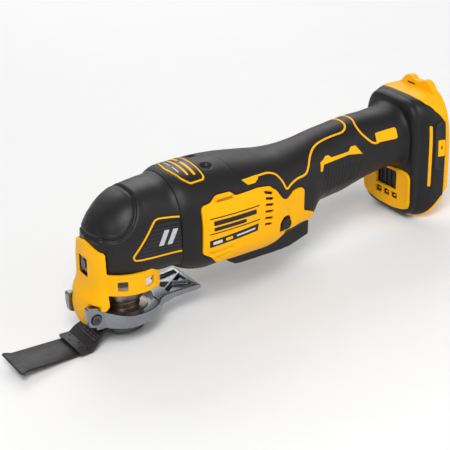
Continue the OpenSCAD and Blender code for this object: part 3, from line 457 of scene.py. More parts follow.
TAG = rounded([
    (146, 79), (147.3, 85.3), (150, 86.2), (152.3, 88.2), (155, 88.4), (157, 86.6), (172, 87.6),
    (174.5, 90.4), (178.5, 90.6), (184, 83.6), (181.5, 84.2), (172, 85.4), (158, 84), (149.5, 83),
    (148, 79)], 0.5, 2)
PATCH = rounded([(196.5, 89), (196.5, 95.5), (213, 97), (214, 96), (214, 90.4), (213, 89.4)], 1.0, 3)
BEZEL = rounded([
    (-25.6, 59.6), (-22, 61), (22, 61), (25.6, 59.6), (26.6, 56), (26.6, 38), (25, 33.4),
    (20, 31.2), (8, 29), (-8, 29), (-20, 31.2), (-25, 33.4), (-26.6, 38), (-26.6, 56)], 1.6, 3)

# Each line starts and ends on the skin: x, y, z on the near side.
PIN_LINE = [
    (86, -26, 88.6), (93, -25, 89.1), (100.3, -23.8, 88.8), (105, -24, 87.6), (108, -24.8, 85.6),
    (111, -27, 81), (113.4, -29, 76.2), (118.6, -27.4, 78.2), (124.3, -25.6, 79.8),
    (130, -24.4, 80.3), (133.4, -23.6, 81.4), (136, -22, 84.2), (139, -19, 88.2),
    (141.8, -16.4, 90.9), (146, -13.5, 93.6), (151, -11.8, 95.6), (158, -11.2, 97.2),
    (166, -11.4, 98.6), (172, -11.6, 99.6), (176, -9.6, 101), (178, -6, 102.4), (178.6, 0, 103)]
PIN_WEDGE = rounded([(78.4, 89.7), (91, 89.8), (92.4, 88.2), (88.4, 86.1), (82.2, 86.2)], 0.5, 2)
FAR_REACH, FAR_FROM_X = 0.3, 136
REAR_LINE = [
    (186.4, 0, 104.2), (186, -5, 104), (184.6, -11, 101.4), (186, -16, 97), (191, -19.5, 91.6),
    (194.5, -20.5, 89.4), (198, -20.6, 89.2)]

BUMPER = [(238.6, 64), (247.6, 62.2), (247.6, 98.8), (244, 99.8), (240.6, 98.8), (238.4, 95.5)]


# Where rays towards the skin start: beyond a side, above the top, ahead of the foot
RAY_Y, RAY_Z, RAY_X = 90, 160, 214
RAY_REACH = 80
MIDDLE_Z = 72


class Skin:
    """A smooth surface that plates and lines are laid on."""

    def __init__(self, grid):
        self.tree = BVHTree.FromPolygons([tuple(p) for p in grid.reshape(-1, 3)],
                                         grid_faces(*grid.shape[:2]))

    def from_side(self, side):
        return lambda u, v: self.cast((u, side * RAY_Y, v), (0, -side, 0))

    def from_top(self):
        return lambda u, v: self.cast((u, v, RAY_Z), (0, 0, -1))

    def from_front(self):
        return lambda u, v: self.cast((RAY_X, u, v), (1, 0, 0))

    def cast(self, start, direction):
        where, normal, _, _ = self.tree.ray_cast(Vector(start), Vector(direction))
        if where is None:
            where, normal, _, _ = self.tree.find_nearest(Vector(start) + RAY_REACH * Vector(direction))
        if normal.dot(Vector(direction)) > 0:
            normal = -normal
        return where, normal

    def nearest(self, point):
        where, normal, _, _ = self.tree.find_nearest(Vector(point))
        if normal.dot(where - Vector((where.x, 0, MIDDLE_Z))) < 0:
            normal = -normal
        return where, normal


def shifted(loop, distance):
    """The closed loop moved to its left by a distance."""
    p = np.array(loop, float)
    ahead = np.roll(p, -1, axis=0) - p
    ahead /= np.maximum(np.linalg.norm(ahead, axis=1), 1e-9)[:, None]
    left = np.stack([-ahead[:, 1], ahead[:, 0]], 1)
    before = np.roll(left, 1, axis=0)
    scale = 1 + (left * before).sum(axis=1)
    return p + (left + before) / np.maximum(scale, 0.5)[:, None] * distance


def turned(loop, way):
    """The loop without doubled points, running anticlockwise for way 1 and clockwise for -1."""
    p = np.array(loop, float)
    p = p[np.linalg.norm(p - np.roll(p, 1, axis=0), axis=1) > 1e-4]
    x, y = p[:, 0], p[:, 1]
    area = (x * np.roll(y, -1) - np.roll(x, -1) * y).sum() / 2
    return p if area * way > 0 else p[::-1]


def plate(name, outline, place, height, look, body="housing", holes=(), step=1.6,
          edge=0.45, drop_to=-1.2, replaces=(), relief=None):
    """A thin plate laid on the skin, with rounded edges, holes and relief."""
    loops = [turned(outline, 1)] + [turned(hole, -1) for hole in holes]
    rims = (0.0, edge * 0.22, edge * 0.55, edge)
    bm = bmesh.new()
    fill = []
    for loop in loops:
        rings = [[bm.verts.new((u, v, 0)) for u, v in shifted(loop, rim)] for rim in rims]
        for low, high in zip(rings, rings[1:]):
            for k in range(len(loop)):
                j = (k + 1) % len(loop)
                bm.faces.new((low[k], low[j], high[j], high[k]))
        fill += [bm.edges.get((a, b)) for a, b in zip(rings[-1], rings[-1][1:] + rings[-1][:1])]
    bmesh.ops.triangle_fill(bm, edges=fill, use_beauty=True, use_dissolve=False)
    for i in (0, 1):
        low, high = min(p[i] for p in outline), max(p[i] for p in outline)
        for at in np.arange(low + step / 2, high, step):
            where, normal = [0, 0, 0], [0, 0, 0]
            where[i], normal[i] = at, 1
            bmesh.ops.bisect_plane(bm, geom=bm.verts[:] + bm.edges[:] + bm.faces[:],
                                   plane_co=where, plane_no=normal)
    verts = bm.verts[:]
    flat = np.array([v.co[:2] for v in verts])
    gap = np.min([segment_distance(flat, loop, True) for loop in loops], axis=0)
    share = np.clip(gap / edge, 0, 1)
    top = height - edge * (1 - np.sqrt(1 - (1 - share) ** 2))
    level = dict(zip(verts, top + (relief(flat) if relief else 0)))
    wall = bmesh.ops.extrude_edge_only(bm, edges=[e for e in bm.edges if e.is_boundary])["geom"]
    for v in wall:
        if isinstance(v, bmesh.types.BMVert):
            level[v] = height + drop_to
    for v in bm.verts:
        where, normal = place(v.co.x, v.co.y)
        v.co = (where + normal * level[v]) * MM
    mesh = bpy.data.meshes.new(name)
    bm.to_mesh(mesh)
    bm.free()
    finished(linked(name, mesh), body, look, replaces, 50)


STRIP_SHAPE = [(-0.5, -0.8), (-0.5, 0.35), (-0.4, 0.8), (-0.2, 1),
               (0.2, 1), (0.4, 0.8), (0.5, 0.35), (0.5, -0.8)]


def strip(name, points, put, width, height=0.32):
    """A raised yellow line along a path, which put lays on the skin."""
    spots = [put(p) for p in smooth_path(points)]
    where = np.array([s[0] for s in spots])
    normal = np.array([s[1] for s in spots])
    for _ in range(3):
        normal[1:-1] = (normal[:-2] + 2 * normal[1:-1] + normal[2:]) / 4
    normal /= np.linalg.norm(normal, axis=1)[:, None]
    side = np.cross(normal, np.gradient(where, axis=0))
    side /= np.linalg.norm(side, axis=1)[:, None]
    n, m = len(where), len(STRIP_SHAPE)
    verts = [where[i] + side[i] * u * width + normal[i] * h * height
             for i in range(n) for u, h in STRIP_SHAPE]
    faces = grid_faces(n, m, flip=True)
    faces += [tuple(range(m)), tuple(range(n * m - 1, n * m - m - 1, -1))]
    new_piece(name, verts, faces, "yellow_line", sharp_angle=40)


# ---- covers

HEAD_RINGS = 110


def inner_lip(ring, share=0.93, middle_z=MOTOR_Z):
    """The ring drawn in towards a middle line, which hides a cover's open end."""
    lip = ring.copy()
    lip[:, 1:] = (0, middle_z) + (lip[:, 1:] - (0, middle_z)) * share
    return lip


FOOT_START = 229.0
HANDLE_END = 213.0
FOOT_FACE = 223.4
HEEL_TOP, HEEL_LOW, HEEL_STEP = (249.4, 45.0), (229.4, 21.4), (1.3, -1.1)
CAP_Y = (0, 17, 24.5, 30, 34.5)
CAP_X = (233, 233, 235.5, 240.5, 250)


def foot_skin():
    """Skin of the foot as a function of x and ring place, and where its covers end."""
    pitch = 0.1
    xs = np.arange(FOOT_START, FOOT_X + pitch / 10, pitch)
    rings = loft(FOOT, np.minimum(xs, FOOT_X))
    y, z = np.abs(rings[..., 1]), rings[..., 2]
    along = xs[:, None]
    run, rise = HEEL_TOP[0] - HEEL_LOW[0], HEEL_TOP[1] - HEEL_LOW[1]

    def first(mask):
        return np.where(mask.any(axis=0), xs[mask.argmax(axis=0)], FOOT_X)

    def heel(steps):
        low = (HEEL_LOW[0] + steps * HEEL_STEP[0], HEEL_LOW[1] + steps * HEEL_STEP[1])
        return first((along - low[0]) * rise > (z - low[1]) * run)

    cap = first((z > 90) & (along >= np.interp(y, CAP_Y, CAP_X)))

    def point(x):
        i = np.clip(((x - xs[0]) / pitch).astype(int), 0, len(xs) - 2)
        u = np.clip((x - xs[i]) / pitch, 0, 1)[:, None]
        k = np.arange(RING)
        return rings[i, k] * (1 - u) + rings[i + 1, k] * u

    return point, cap, heel(0), heel(1)


def rear_grid():
    """Handle, fillet, foot front and foot sides as one grid."""
    handle = loft(BODY, np.arange(SEAM_X + 0.1, HANDLE_END, 0.8))
    start = section_ring(columns(BODY, HANDLE_END)[0])
    end = section_ring(columns(FOOT, FOOT_START)[0])
    gap = np.linalg.norm(end - start, axis=1)
    fillet = np.minimum(0.55 * gap, 4.5) / gap
    power = 1.7 + 0.14 * np.maximum(gap - 6, 0)
    joint = []
    for t in np.linspace(0, 1, 16)[:-1]:
        a = t * math.pi / 2
        x = np.full(RING, HANDLE_END + (FOOT_FACE - HANDLE_END) * math.sin(a))
        joint.append((x, fillet * (1 - math.cos(a))))
    for t in np.linspace(0, 1, 34)[:-1]:
        share = 1 - (1 - t) ** 1.6
        x = FOOT_FACE + (FOOT_START - FOOT_FACE) * (1 - (1 - share ** power) ** (1 / power))
        joint.append((x, fillet + (1 - fillet) * share))
    joint = np.array([np.column_stack([x, start + (end - start) * r[:, None]]) for x, r in joint])
    point, cap, heel, _ = foot_skin()
    stop = np.minimum(cap, heel)
    foot = np.array([point(FOOT_START + (stop - FOOT_START) * t) for t in np.linspace(0, 1, 26)])
    lips = [inner_lip(foot[-1], share, FOOT_Z) for share in (0.988, 0.94)]
    return np.concatenate([handle, joint, foot, lips])


def pressed(amount, distance, width):
    """Depth of a rounded groove at a distance from its line."""
    return amount * np.exp(-(distance / width) ** 2)


def sunk(amount, distance, radius, power):
    """Depth of a flat recess; a higher power gives a steeper wall."""
    return amount / (1 + (distance / radius) ** power)


DOME = [
    (5, 0, 91.6), (5, -8.2, 91), (4.2, -14, 88.8), (2.6, -19, 85), (0, -22.6, 79.6),
    (-4.5, -24, 72.8), (-9.8, -23, 68.2), (-14.8, -20, 66.2), (-20.6, -13.3, 66.6),
    (-23.8, -5.5, 66.2), (-24.4, 0, 66.4)]


def point_distance(p, path, chunk=4000):
    """Distance of each 3D point to the nearest point of a finely sampled path."""
    best = np.empty(len(p))
    for i in range(0, len(p), chunk):
        best[i:i + chunk] = np.linalg.norm(p[i:i + chunk, None] - path[None], axis=2).min(axis=1)
    return best


def build_head():
    """Black cover of the head with its dome."""
    share = np.linspace(0, 1, HEAD_RINGS)
    length = SEAM_X - 0.05 - HEAD_START
    grid = loft(BODY, HEAD_START + length * (0.25 * share + 0.75 * share ** 1.7))
    skin = Skin(grid)
    flat = grid.reshape(-1, 3)
    depth = np.zeros(len(flat))
    near_front = flat[:, 0] < 12
    dome = smooth_path(DOME, 0.5)
    dome = np.vstack([dome, dome * (1, -1, 1)])
    gap = point_distance(flat[near_front], dome)
    # The dome's groove, with a low swelling beside it
    depth[near_front] += pressed(0.3, gap - 2.4, 1.1) - pressed(1.15, gap, 0.95)
    xz = flat[:, [0, 2]]
    edge = segment_distance(xz, BADGE, True)
    depth -= np.where(inside(xz, BADGE), 1.0, pressed(0.5, edge, 0.7))
    depth -= 0.12 * np.clip((flat[:, 0] - (SEAM_X - 0.9)) / 0.85, 0, 1) ** 2.5
    moved = flat + grid_normals(grid).reshape(-1, 3) * depth[:, None]
    tip = moved[:RING].mean(axis=0)
    verts = np.vstack([moved, inner_lip(moved[-RING:]), tip])
    faces = grid_faces(HEAD_RINGS + 1, RING)
    faces += [(len(verts) - 1, k, (k + 1) % RING) for k in range(RING)]
    new_piece("head_boot", verts, faces, "boot", ["head_cover"])
    return skin


VENT_R = 0.85
VENTS = [((94.2, 79), (99.6, 77.2)), ((94.2, 75), (99.6, 73.6)), ((93.6, 70.8), (99.2, 69.6)),
         ((93, 66.2), (98.8, 65.2)), ((92.6, 61.6), (98.4, 60.4)), ((92.4, 57.2), (97.4, 56.2))]


GROOVES, GROOVE_X, GROOVE_PITCH = 11, 148, 3.1
TOP_SCREWS = [(61, -10.5), (61, 10.5)]
SIDE_SCREWS = [(56, 90), (150, 59), (186, 68), (234, 104), (233.6, 34.4)]
FOOT_SLOT = [(236, 51), (236, 97)]
SLOT_X, SLOT_HALF_W, SLOT_TOP = (74, 145), 14.6, 51  # of the trigger


def build_rear():
    """Black cover of the body, handle and foot, and the foot's yellow shells."""
    grid = rear_grid()
    skin = Skin(grid)
    flat = grid.reshape(-1, 3)
    normal = grid_normals(grid).reshape(-1, 3)
    depth = np.zeros(len(flat))
    side_on = np.abs(normal[:, 1]) > 0.25
    xz = flat[:, [0, 2]]
    # Recess under the side panel and the gap round it
    edge = segment_distance(xz, PANEL, True)
    gap = np.where(side_on, pressed(0.7, edge, 0.7), 0)
    depth -= np.where(inside(xz, PANEL) & side_on, 1.6, gap)
    groove = np.zeros(len(flat))
    for k in range(GROOVES):
        run = 0.5 + GROOVE_PITCH * k
        line = [(GROOVE_X + run, 63 + 0.16 * run), (GROOVE_X + run + 1.6, 80.2 - 0.05 * run)]
        groove = np.maximum(groove, pressed(0.55, segment_distance(xz, line), 0.8))
    depth -= np.where(side_on, groove, 0)
    # Parting line across the top, and the front lip
    seam_x = 74 + 0.004 * flat[:, 1] ** 2
    depth -= np.where(flat[:, 2] > 84, pressed(0.35, np.abs(flat[:, 0] - seam_x), 0.55), 0)
    depth -= 0.08 * np.clip((SEAM_X + 1.5 - flat[:, 0]) / 1.4, 0, 1) ** 2.2
    # Recess of the label plate and of the screws behind it
    on_top = flat[:, 2] > 88
    depth -= np.where(on_top & inside(flat[:, :2], LABEL), 0.9, 0)
    depth -= np.where(on_top, pressed(0.45, segment_distance(flat[:, :2], LABEL, True), 0.6), 0)
    for x, y in TOP_SCREWS:
        depth -= np.where(on_top, sunk(2.2, np.hypot(flat[:, 0] - x, flat[:, 1] - y), 3.3, 14), 0)
    # Screw wells in the far side
    for x, z in SIDE_SCREWS:
        far = np.hypot(flat[:, 0] - x, flat[:, 2] - z)
        depth -= np.where(normal[:, 1] > 0.2, sunk(2.0, far, 3.4, 12), 0)
    slot = segment_distance(xz, FOOT_SLOT)
    depth -= np.where(side_on & (flat[:, 0] > 228), sunk(0.8, slot, 1.6, 8), 0)
    # Recess for the bezel
    front = (normal[:, 0] < -0.4) & (flat[:, 0] > 218)
    depth -= np.where(front & inside(flat[:, 1:], BEZEL), 2.0, 0)
    depth[-2 * RING:] = 0
    moved = flat + normal * depth[:, None]
    verts = np.vstack([inner_lip(moved[:RING]), moved])
    faces = grid_faces(len(grid) + 1, RING)
    # The slot of the trigger is left open
    centre = np.array([verts[list(f)].mean(axis=0) for f in faces])
    x, y, z = centre.T
    in_slot = (x > SLOT_X[0]) & (x < SLOT_X[1]) & (np.abs(y) < SLOT_HALF_W) & (z < SLOT_TOP)
    faces = [f for f, gone in zip(faces, in_slot) if not gone]
    new_piece("grip_cover", verts, faces, "grip",
              ["grip_left", "grip_right", "housing_left", "housing_right"])
    point, cap, heel, heel_end = foot_skin()
    flush_shell("foot_cap_shell", point, cap, np.full(RING, FOOT_X), ["foot_cap"])
    flush_shell("foot_heel_shell", point, heel, heel_end)
    return skin


def flush_shell(name, point, start, end, replaces=()):
    """Yellow skin between two lines round the foot, flush with the black cover."""
    places = np.flatnonzero(start < FOOT_X - 0.6)
    rows = [(start + 0.12, -1.2), (start + 0.16, -0.25), (start + 0.4, 0.12), (start + 0.9, 0.25)]
    rows += [(start + 1.4 + (end - start - 1.4) * t, 0.25) for t in np.linspace(0, 1, 16)]
    rows += [(end, level) for level in (0.1, -0.6, -2, -6)]
    grid = np.array([point(x)[places] for x, _ in rows])
    out = grid - (0, 0, FOOT_Z)
    out[..., 0] = 0
    out /= np.linalg.norm(out, axis=2, keepdims=True)
    grid = grid + out * np.array([level for _, level in rows])[:, None, None]
    rings, count = grid.shape[:2]
    faces = [(i * count + k, (i + 1) * count + k, (i + 1) * count + k + 1, i * count + k + 1)
             for i in range(rings - 1) for k in range(count - 1)]
    new_piece(name, grid.reshape(-1, 3), faces, "yellow_rough", replaces)


def slot_outline(a, b, radius, steps=6):
    """A rounded slot between two points."""
    a, b = Vector(a), Vector(b)
    turn = math.atan2(b.y - a.y, b.x - a.x)
    out = []
    for centre, start in ((b, turn - math.pi / 2), (a, turn + math.pi / 2)):
        for k in range(steps + 1):
            w = start + math.pi * k / steps
            out.append((centre.x + radius * math.cos(w), centre.y + radius * math.sin(w)))
    return out


def bar(a, b, half):
    """A straight bar between two points of an outline plane."""
    a, b = Vector(a), Vector(b)
    off = Vector((-(b - a).y, (b - a).x)).normalized() * half
    return rounded([tuple(a + off), tuple(a - off), tuple(b - off), tuple(b + off)], half * 0.5, 2)


def bar_plate(name, a, b, half, place, height, look, edge=0.1, drop_to=-0.4,
              body="housing"):
    """A straight bar laid on the skin."""
    plate(name, bar(a, b, half), place, height, look, body, edge=edge, drop_to=drop_to)


def panel_relief(p):
    """Border groove, valley before the rear wing and ledges low at the front."""
    rim = segment_distance(p, PANEL, True)
    front = np.clip((104 - p[:, 0]) / 6, 0, 1)
    out = -front * pressed(0.55, rim - 3.1, 0.6)
    out -= pressed(1.3, segment_distance(p, smooth_path(CREASE, 2)), 2.8)
    for line in LEDGES:
        out -= pressed(1.3, segment_distance(p, line), 0.95)
    return out


def bumper_relief(p):
    """A raised rim with a sunk middle."""
    return -0.55 * np.clip((segment_distance(p, BUMPER, True) - 1.1) / 0.5, 0, 1)


def bezel_relief(p):
    """A raised rib along the edge."""
    return pressed(0.7, segment_distance(p, BEZEL, True) - 1.4, 1.0)


# Plain bars where lettering would be: start, end, half width
PANEL_BARS = [((48.4, 71.6), (87.2, 72.4), 0.38), ((47.8, 61.2), (87.2, 62.8), 0.38),
              ((51, 68.2), (84.5, 69.0), 1.6), ((51, 64.2), (76, 65.0), 1.25)]
PANEL_LABEL = rounded([(47.6, 51.8), (47.6, 56.8), (86, 60.2), (85.2, 55.2)], 0.5, 3)
PANEL_TAB = rounded([(52.6, 82), (56.6, 85.2), (66.2, 85.4), (68.6, 82.8)], 1, 3)
# Start, end, half width and material of the marks on the panel's label
LABEL_MARKS = [(50, 57, 1.1, "pale_print"), (59.6, 65, 1.0, "yellow_line"),
               (68, 83, 0.6, "pale_print")]
# Place, half width, ends and material of the bars on the top label
TOP_BARS = [(40.4, 0.4, -10, -1.2, "pale_print"), (40.4, 0.4, 1.2, 10, "pale_print"),
            (44.6, 0.75, -14.5, 13, "yellow_line"), (49.0, 0.95, -16, 3, "yellow_line"),
            (49.0, 0.95, 6.4, 16, "yellow_line")]


def build_panel(name, on_rear):
    """Yellow side panel with its vents, tab, painted shadow under the tab, plain bars and label."""
    holes = [slot_outline(a, b, VENT_R) for a, b in VENTS] + [POCKET]
    plate(f"side_panel_{name}", PANEL, on_rear, 0.75, "yellow", holes=holes,
          edge=0.6, drop_to=-1.9, step=1.0, relief=panel_relief)
    plate(f"panel_tab_{name}", PANEL_TAB, on_rear, 1.8, "yellow", edge=0.8,
          drop_to=-1.3)
    # Dark orange bar at the tab's lower edge: painted shadow in the vent opening under the raised tab
    bar_plate(f"panel_tab_slot_shadow_{name}", (55.5, 82), (67, 82.4), 0.5, on_rear, 1.86, "yellow_painted_shadow")
    for k, (a, b, half) in enumerate(PANEL_BARS):
        bar_plate(f"panel_bar_{k}_{name}", a, b, half, on_rear, 0.86, "badge")
    plate(f"panel_label_{name}", PANEL_LABEL, on_rear, 0.88, "badge", edge=0.12,
          drop_to=-0.4)
    for k, (x0, x1, half, look) in enumerate(LABEL_MARKS):
        a, b = ((x, 54.3 + 0.087 * (x - 47.5)) for x in (x0, x1))
        bar_plate(f"label_mark_{k}_{name}", a, b, half, on_rear, 0.98, look, edge=0.08,
                  drop_to=-0.3)


def build_badge(name, on_head, replaces):
    """Badge: face with fine ribs, two plain bars, and a rim open towards the rear."""
    plate(f"badge_face_{name}", BADGE, on_head, 0.05, "badge", edge=0.1,
          drop_to=-1.0, replaces=replaces)
    strip(f"badge_rim_{name}", BADGE_RIM, lambda p: on_head(*p), 1.15, height=0.4)
    for k in range(8):
        z = 54.6 + 2.6 * k
        x0 = -1.6 + max(0.0, z - 55) * 0.68
        bar_plate(f"badge_rib_{k}_{name}", (x0 + 1.2, z), (28.6, z + 0.2), 0.25, on_head, 0.3,
                  "badge_rib", drop_to=-0.3)
    for k, x in enumerate((13.5, 19.5)):
        mark = rounded([(x, 59), (x + 4.6, 69), (x + 8, 69), (x + 3.4, 59)], 0.4, 2)
        plate(f"badge_mark_{k}_{name}", mark, on_head, 0.5, "silver_print",
              edge=0.15, drop_to=-0.5)


def build_inlays(name, side, rear, on_rear):
    """Yellow lines and marks on the grip. Behind the panel the far lines lie further out."""
    for line, path in (("pin_line", PIN_LINE), ("rear_line", REAR_LINE)):
        reach = FAR_REACH * (side > 0)
        course = [(x, -side * y * (1 + reach * min(max((x - FAR_FROM_X) / 10, 0), 1)), z)
                  for x, y, z in path]
        strip(f"{line}_{name}", course, rear.nearest, 1.45)
    for mark, outline, height, edge, drop_to in (
            ("pin_wedge", PIN_WEDGE, 0.34, 0.25, -1.2), ("handle_tag", TAG, 0.4, 0.3, -1.2),
            ("foot_patch", PATCH, 0.45, 0.35, -1.2),
            ("foot_slot", slot_outline((236, 52), (236, 96), 1.15), -0.35, 0.2, -0.8)):
        plate(f"{mark}_{name}", outline, on_rear, height, "yellow_line", edge=edge,
              drop_to=drop_to)


def build_bumper(name, on_rear, replaces):
    """Side bumper with its yellow square."""
    plate(f"foot_bumper_{name}", rounded(BUMPER, 1.2, 3), on_rear, 1.0, "black",
          edge=0.6, replaces=replaces, relief=bumper_relief)
    square = rounded([(241.4, 73.6), (247.2, 73.4), (247.2, 85.6), (241.2, 86)], 0.8, 3)
    hole = rounded([(243.6, 78.6), (245, 78.6), (245, 81.2), (243.6, 81.2)], 0.3, 2)
    plate(f"bumper_square_{name}", square, on_rear, 1.15, "yellow", edge=0.4,
          holes=[hole])


def build_label(on_top):
    """Label across the top with its rim and plain bars."""
    middle_x = 44.9
    inner = [(middle_x + (x - middle_x) * 0.885, y * 0.95) for x, y in LABEL]
    plate("label_rim", LABEL, on_top, 0.3, "yellow_line", holes=[inner], edge=0.3,
          replaces=["top_label"])
    plate("label_face", inner, on_top, 0.08, "badge", edge=0.1)
    for k, (x, half, low, high, look) in enumerate(TOP_BARS):
        bar_plate(f"label_bar_{k}", (x, low), (x, high), half, on_top, 0.22, look,
                  edge=0.08)


def build_bezel(on_front):
    """Bezel on the foot's front, with its window and three marks."""
    window = rounded([(-11.4, 43.4), (11.4, 43.4), (11.4, 58.4), (-11.4, 58.4)], 1.0, 3)
    spots = (-9.2, -0.4, 8.4)
    marks = [rounded([(y - 3.6, 36.2), (y + 3.6, 36.2), (y + 3.6, 41.2), (y - 3.6, 41.2)], 0.4, 2)
             for y in spots]
    plate("foot_bezel", BEZEL, on_front, 0.7, "yellow", holes=[window, *marks],
          edge=0.6, drop_to=-2.0, replaces=["rear_bezel"], step=1.2, relief=bezel_relief)
    for k in range(4):
        y = -7.8 + 5.2 * k
        bar_plate(f"window_rib_{k}", (y, 43.6), (y, 57), 0.5, on_front, -1.3, "black",
                  edge=0.2, drop_to=-1.0)
    for k, y in enumerate(spots):
        bar_plate(f"bezel_mark_{k}", (y - 1.1, 38.7), (y + 1.1, 38.7), 0.55, on_front, -0.5,
                  "yellow_line", edge=0.15, drop_to=-0.8)


def on_foot_end(u, v):
    return np.array((FOOT_X, u, v)), np.array((-1.0, 0, 0))


def build_plates(head, rear):
    for name, side in SIDES.items():
        on_rear, on_head = rear.from_side(side), head.from_side(side)
        # The CAD draws both badges as one node, and both bumpers too
        badges, bumpers = (["side_badges"], ["side_bumpers"]) if name == "near" else ((), ())
        build_panel(name, on_rear)
        build_badge(name, on_head, badges)
        build_inlays(name, side, rear, on_rear)
        build_bumper(name, on_rear, bumpers)
    build_label(rear.from_top())
    build_bezel(rear.from_front())
    # Dark slot between the guide horns
    bar_plate("horn_slot", (2.4, 117), (10.4, 117), 0.55, on_foot_end, 0.12, "black",
              edge=0.05, drop_to=-0.3)


# ---- nose guard

GUARD_R, GUARD_IN, GUARD_Z, GUARD_TOP = 28.8, 28.8 - 2.8, 28.5, 43.0
WINDOW_ANGLES = (75, 115, -75, -115)
BEAK = [
    (1.5, 28, 8, 2.2), (3, 30, 11, 2.2), (7, 32.2, 16.4, 2.1), (12, 33.2, 19.6, 2.1),
    (20, 32.6, 22, 2.1), (25, 31.2, 21.6, 2.1), (29, 29.2, 20.4, 2.1), (33, 28.2, 19.6, 2.1),
    (38, 27.9, 19.4, 2.1), (46, 27.9, 19.4, 2.1), (54, 27.6, 18.8, 2), (62.5, 26.8, 17.8, 2)]
BEAK_BACK = 20.0
ARM_IN = 11.6


def lathe(profile, count=160):
    """Scratch solid of revolution about Z from a closed (radius, z) profile."""
    verts, faces = [], []
    m = len(profile)
    for i in range(count):
        a = 2 * math.pi * i / count
        verts += [(r * math.cos(a), r * math.sin(a), z) for r, z in profile]
    for i in range(count):
        j = (i + 1) % count
        faces += [(i * m + k, j * m + k, j * m + (k + 1) % m, i * m + (k + 1) % m) for k in range(m)]
    return scratch_solid("ring", verts, faces)


def build_guard():
    """Yellow nose guard: a beak with its lamp window, joined to a band with four windows."""
    steps, levels = 120, 60
    heights = np.linspace(BEAK[0][0], BEAK[-1][0], levels)
    rows = columns([(z, reach, half, n, 0, 0, 0) for z, reach, half, n in BEAK], heights)
    verts = []
    for z, (reach, half, n, *_) in zip(heights, rows):
        for a in np.linspace(math.pi / 2, -math.pi / 2, steps):
            c, s = abs(math.cos(a)) ** (2 / n), math.copysign(abs(math.sin(a)) ** (2 / n), a)
            verts.append((-BEAK_BACK - (reach - BEAK_BACK) * c, half * s, z))
    faces = grid_faces(levels, steps)
    faces += [tuple(range(steps)), tuple(range(levels * steps - 1, (levels - 1) * steps - 1, -1))]
    beak = scratch_solid("beak", verts, faces)
    wide = 80
    slope = math.tan(math.radians(17))
    cuts = []
    for side in (-1, 1):
        cuts.append(prism([(0, 62.5), (side * 40, 62.5 - 40 * slope), (side * 40, 90), (0, 90)],
                          -60, 0, "x"))
        pocket = [(-50, -5), (0, -5), (0, 18.3), (-25.3, 18.3), (-25.3, 21.8), (-50, 21.8)]
        cuts.append(prism(pocket, *sorted((side * (ARM_IN - 0.3), side * 40)), "y"))
    cuts.append(prism([(-23, 17), (-20, 21.4), (-19, 28), (10, 28), (10, -5), (-23, -5)],
                      -wide, wide, "y"))
    carve(beak, cuts)
    band = lathe([(GUARD_IN, GUARD_Z), (GUARD_R, GUARD_Z), (GUARD_R, GUARD_TOP + 4),
                  (GUARD_IN, GUARD_TOP + 4)])
    carve(band, [
        prism([(16.6, 0), (60, 0), (60, 60), (16.6, 60)], -wide, wide, "y"),
        prism([(-60, -16), (-10, -16), (-10, 16), (-60, 16)], 0, 60, "z"),
        prism([(-60, GUARD_TOP), (4, GUARD_TOP), (24, GUARD_TOP + 2.6), (40, GUARD_TOP + 3), (40, 80),
               (-60, 80)], -wide, wide, "y")])
    carve(beak, [band], "UNION")
    cuts = []
    for angle in WINDOW_ANGLES:
        cutter = prism([(20, -3.4), (36, -3.4), (36, 3.4), (20, 3.4)], 31.6, 38.4, "z")
        cutter.data.transform(Matrix.Rotation(math.radians(angle), 4, "Z"))
        cuts.append(cutter)
    cuts += [
        prism([(-25.4, -7.2), (10, -7.2), (10, 7.2), (-25.4, 7.2)], -5, 38.3, "z"),
        prism([(-26.6, -8), (-10, -8), (-10, 8), (-26.6, 8)], 37.2, 52.8, "z"),
        prism([(-40, -5.8), (-24, -5.8), (-24, 5.8), (-40, 5.8)], 37.8, 51, "z"),
        prism(circle(GUARD_IN, 128), GUARD_Z - 2, GUARD_TOP + 0.4, "z"),
        prism(circle(19.7, 96), GUARD_TOP, 75, "z")]
    carve(beak, cuts)
    softened(beak, 0.42, 7)
    beak.name = "nose_guard_shell"
    finished(beak, "housing", "yellow_rough", ["nose_guard"])


# ---- clamp, blade, foot and the rest

DIMPLE_Z = -9.7
DIMPLES = [(-34.6, 11.4), (-37.8, 5.2), (-34.6, -1.3), (-37.6, -8), (-34.6, -13)]
SLOPE = 9.7 / 12
SLOPE_X = -33
# Piece, CAD node, edge width, steps across the edge, body, material, slot
EDGED = [
    ("blade_tang", "blade_bracket", 0.35, 3, "spindle", "blade", "blade_steel"),
    ("blade_plate", "blade", 0.12, 2, "spindle", "blade", "blade_steel"),
    ("clamp_sleeve", "clamp_collar", 0.4, 3, "collar", "bronze", "bronze_steel"),
    ("spindle_shaft", "spindle", 0.4, 3, "spindle", "dark_steel", "dark_steel"),
    ("spring_cap", "spring_cup", 0.6, 3, "spindle", "bronze", "dark_steel"),
    ("pivot_pins", "lever_pins", 0.3, 3, "housing", "dark_steel", "dark_steel"),
    ("lock_bolt", "lock_button", 0.6, 4, "lock", "black", "black_plastic"),
    ("rail_plate", "battery_rail", 0.7, 3, "housing", "yellow_rough", "yellow_guard"),
    ("terminal_tower", "terminal_block", 0.4, 3, "housing", "black", "black_plastic")]


def cast_piece(name, node, voxel, passes, body, look):
    finished(softened(cad_copy(name, node), voxel, passes), body, look, [node])


def on_slope(u, v):
    """The sloping part of the blade's bracket."""
    where = np.array((u, v, DIMPLE_Z + (u - SLOPE_X) * SLOPE))
    return where, np.array((-SLOPE, 0, 1)) / math.hypot(SLOPE, 1)


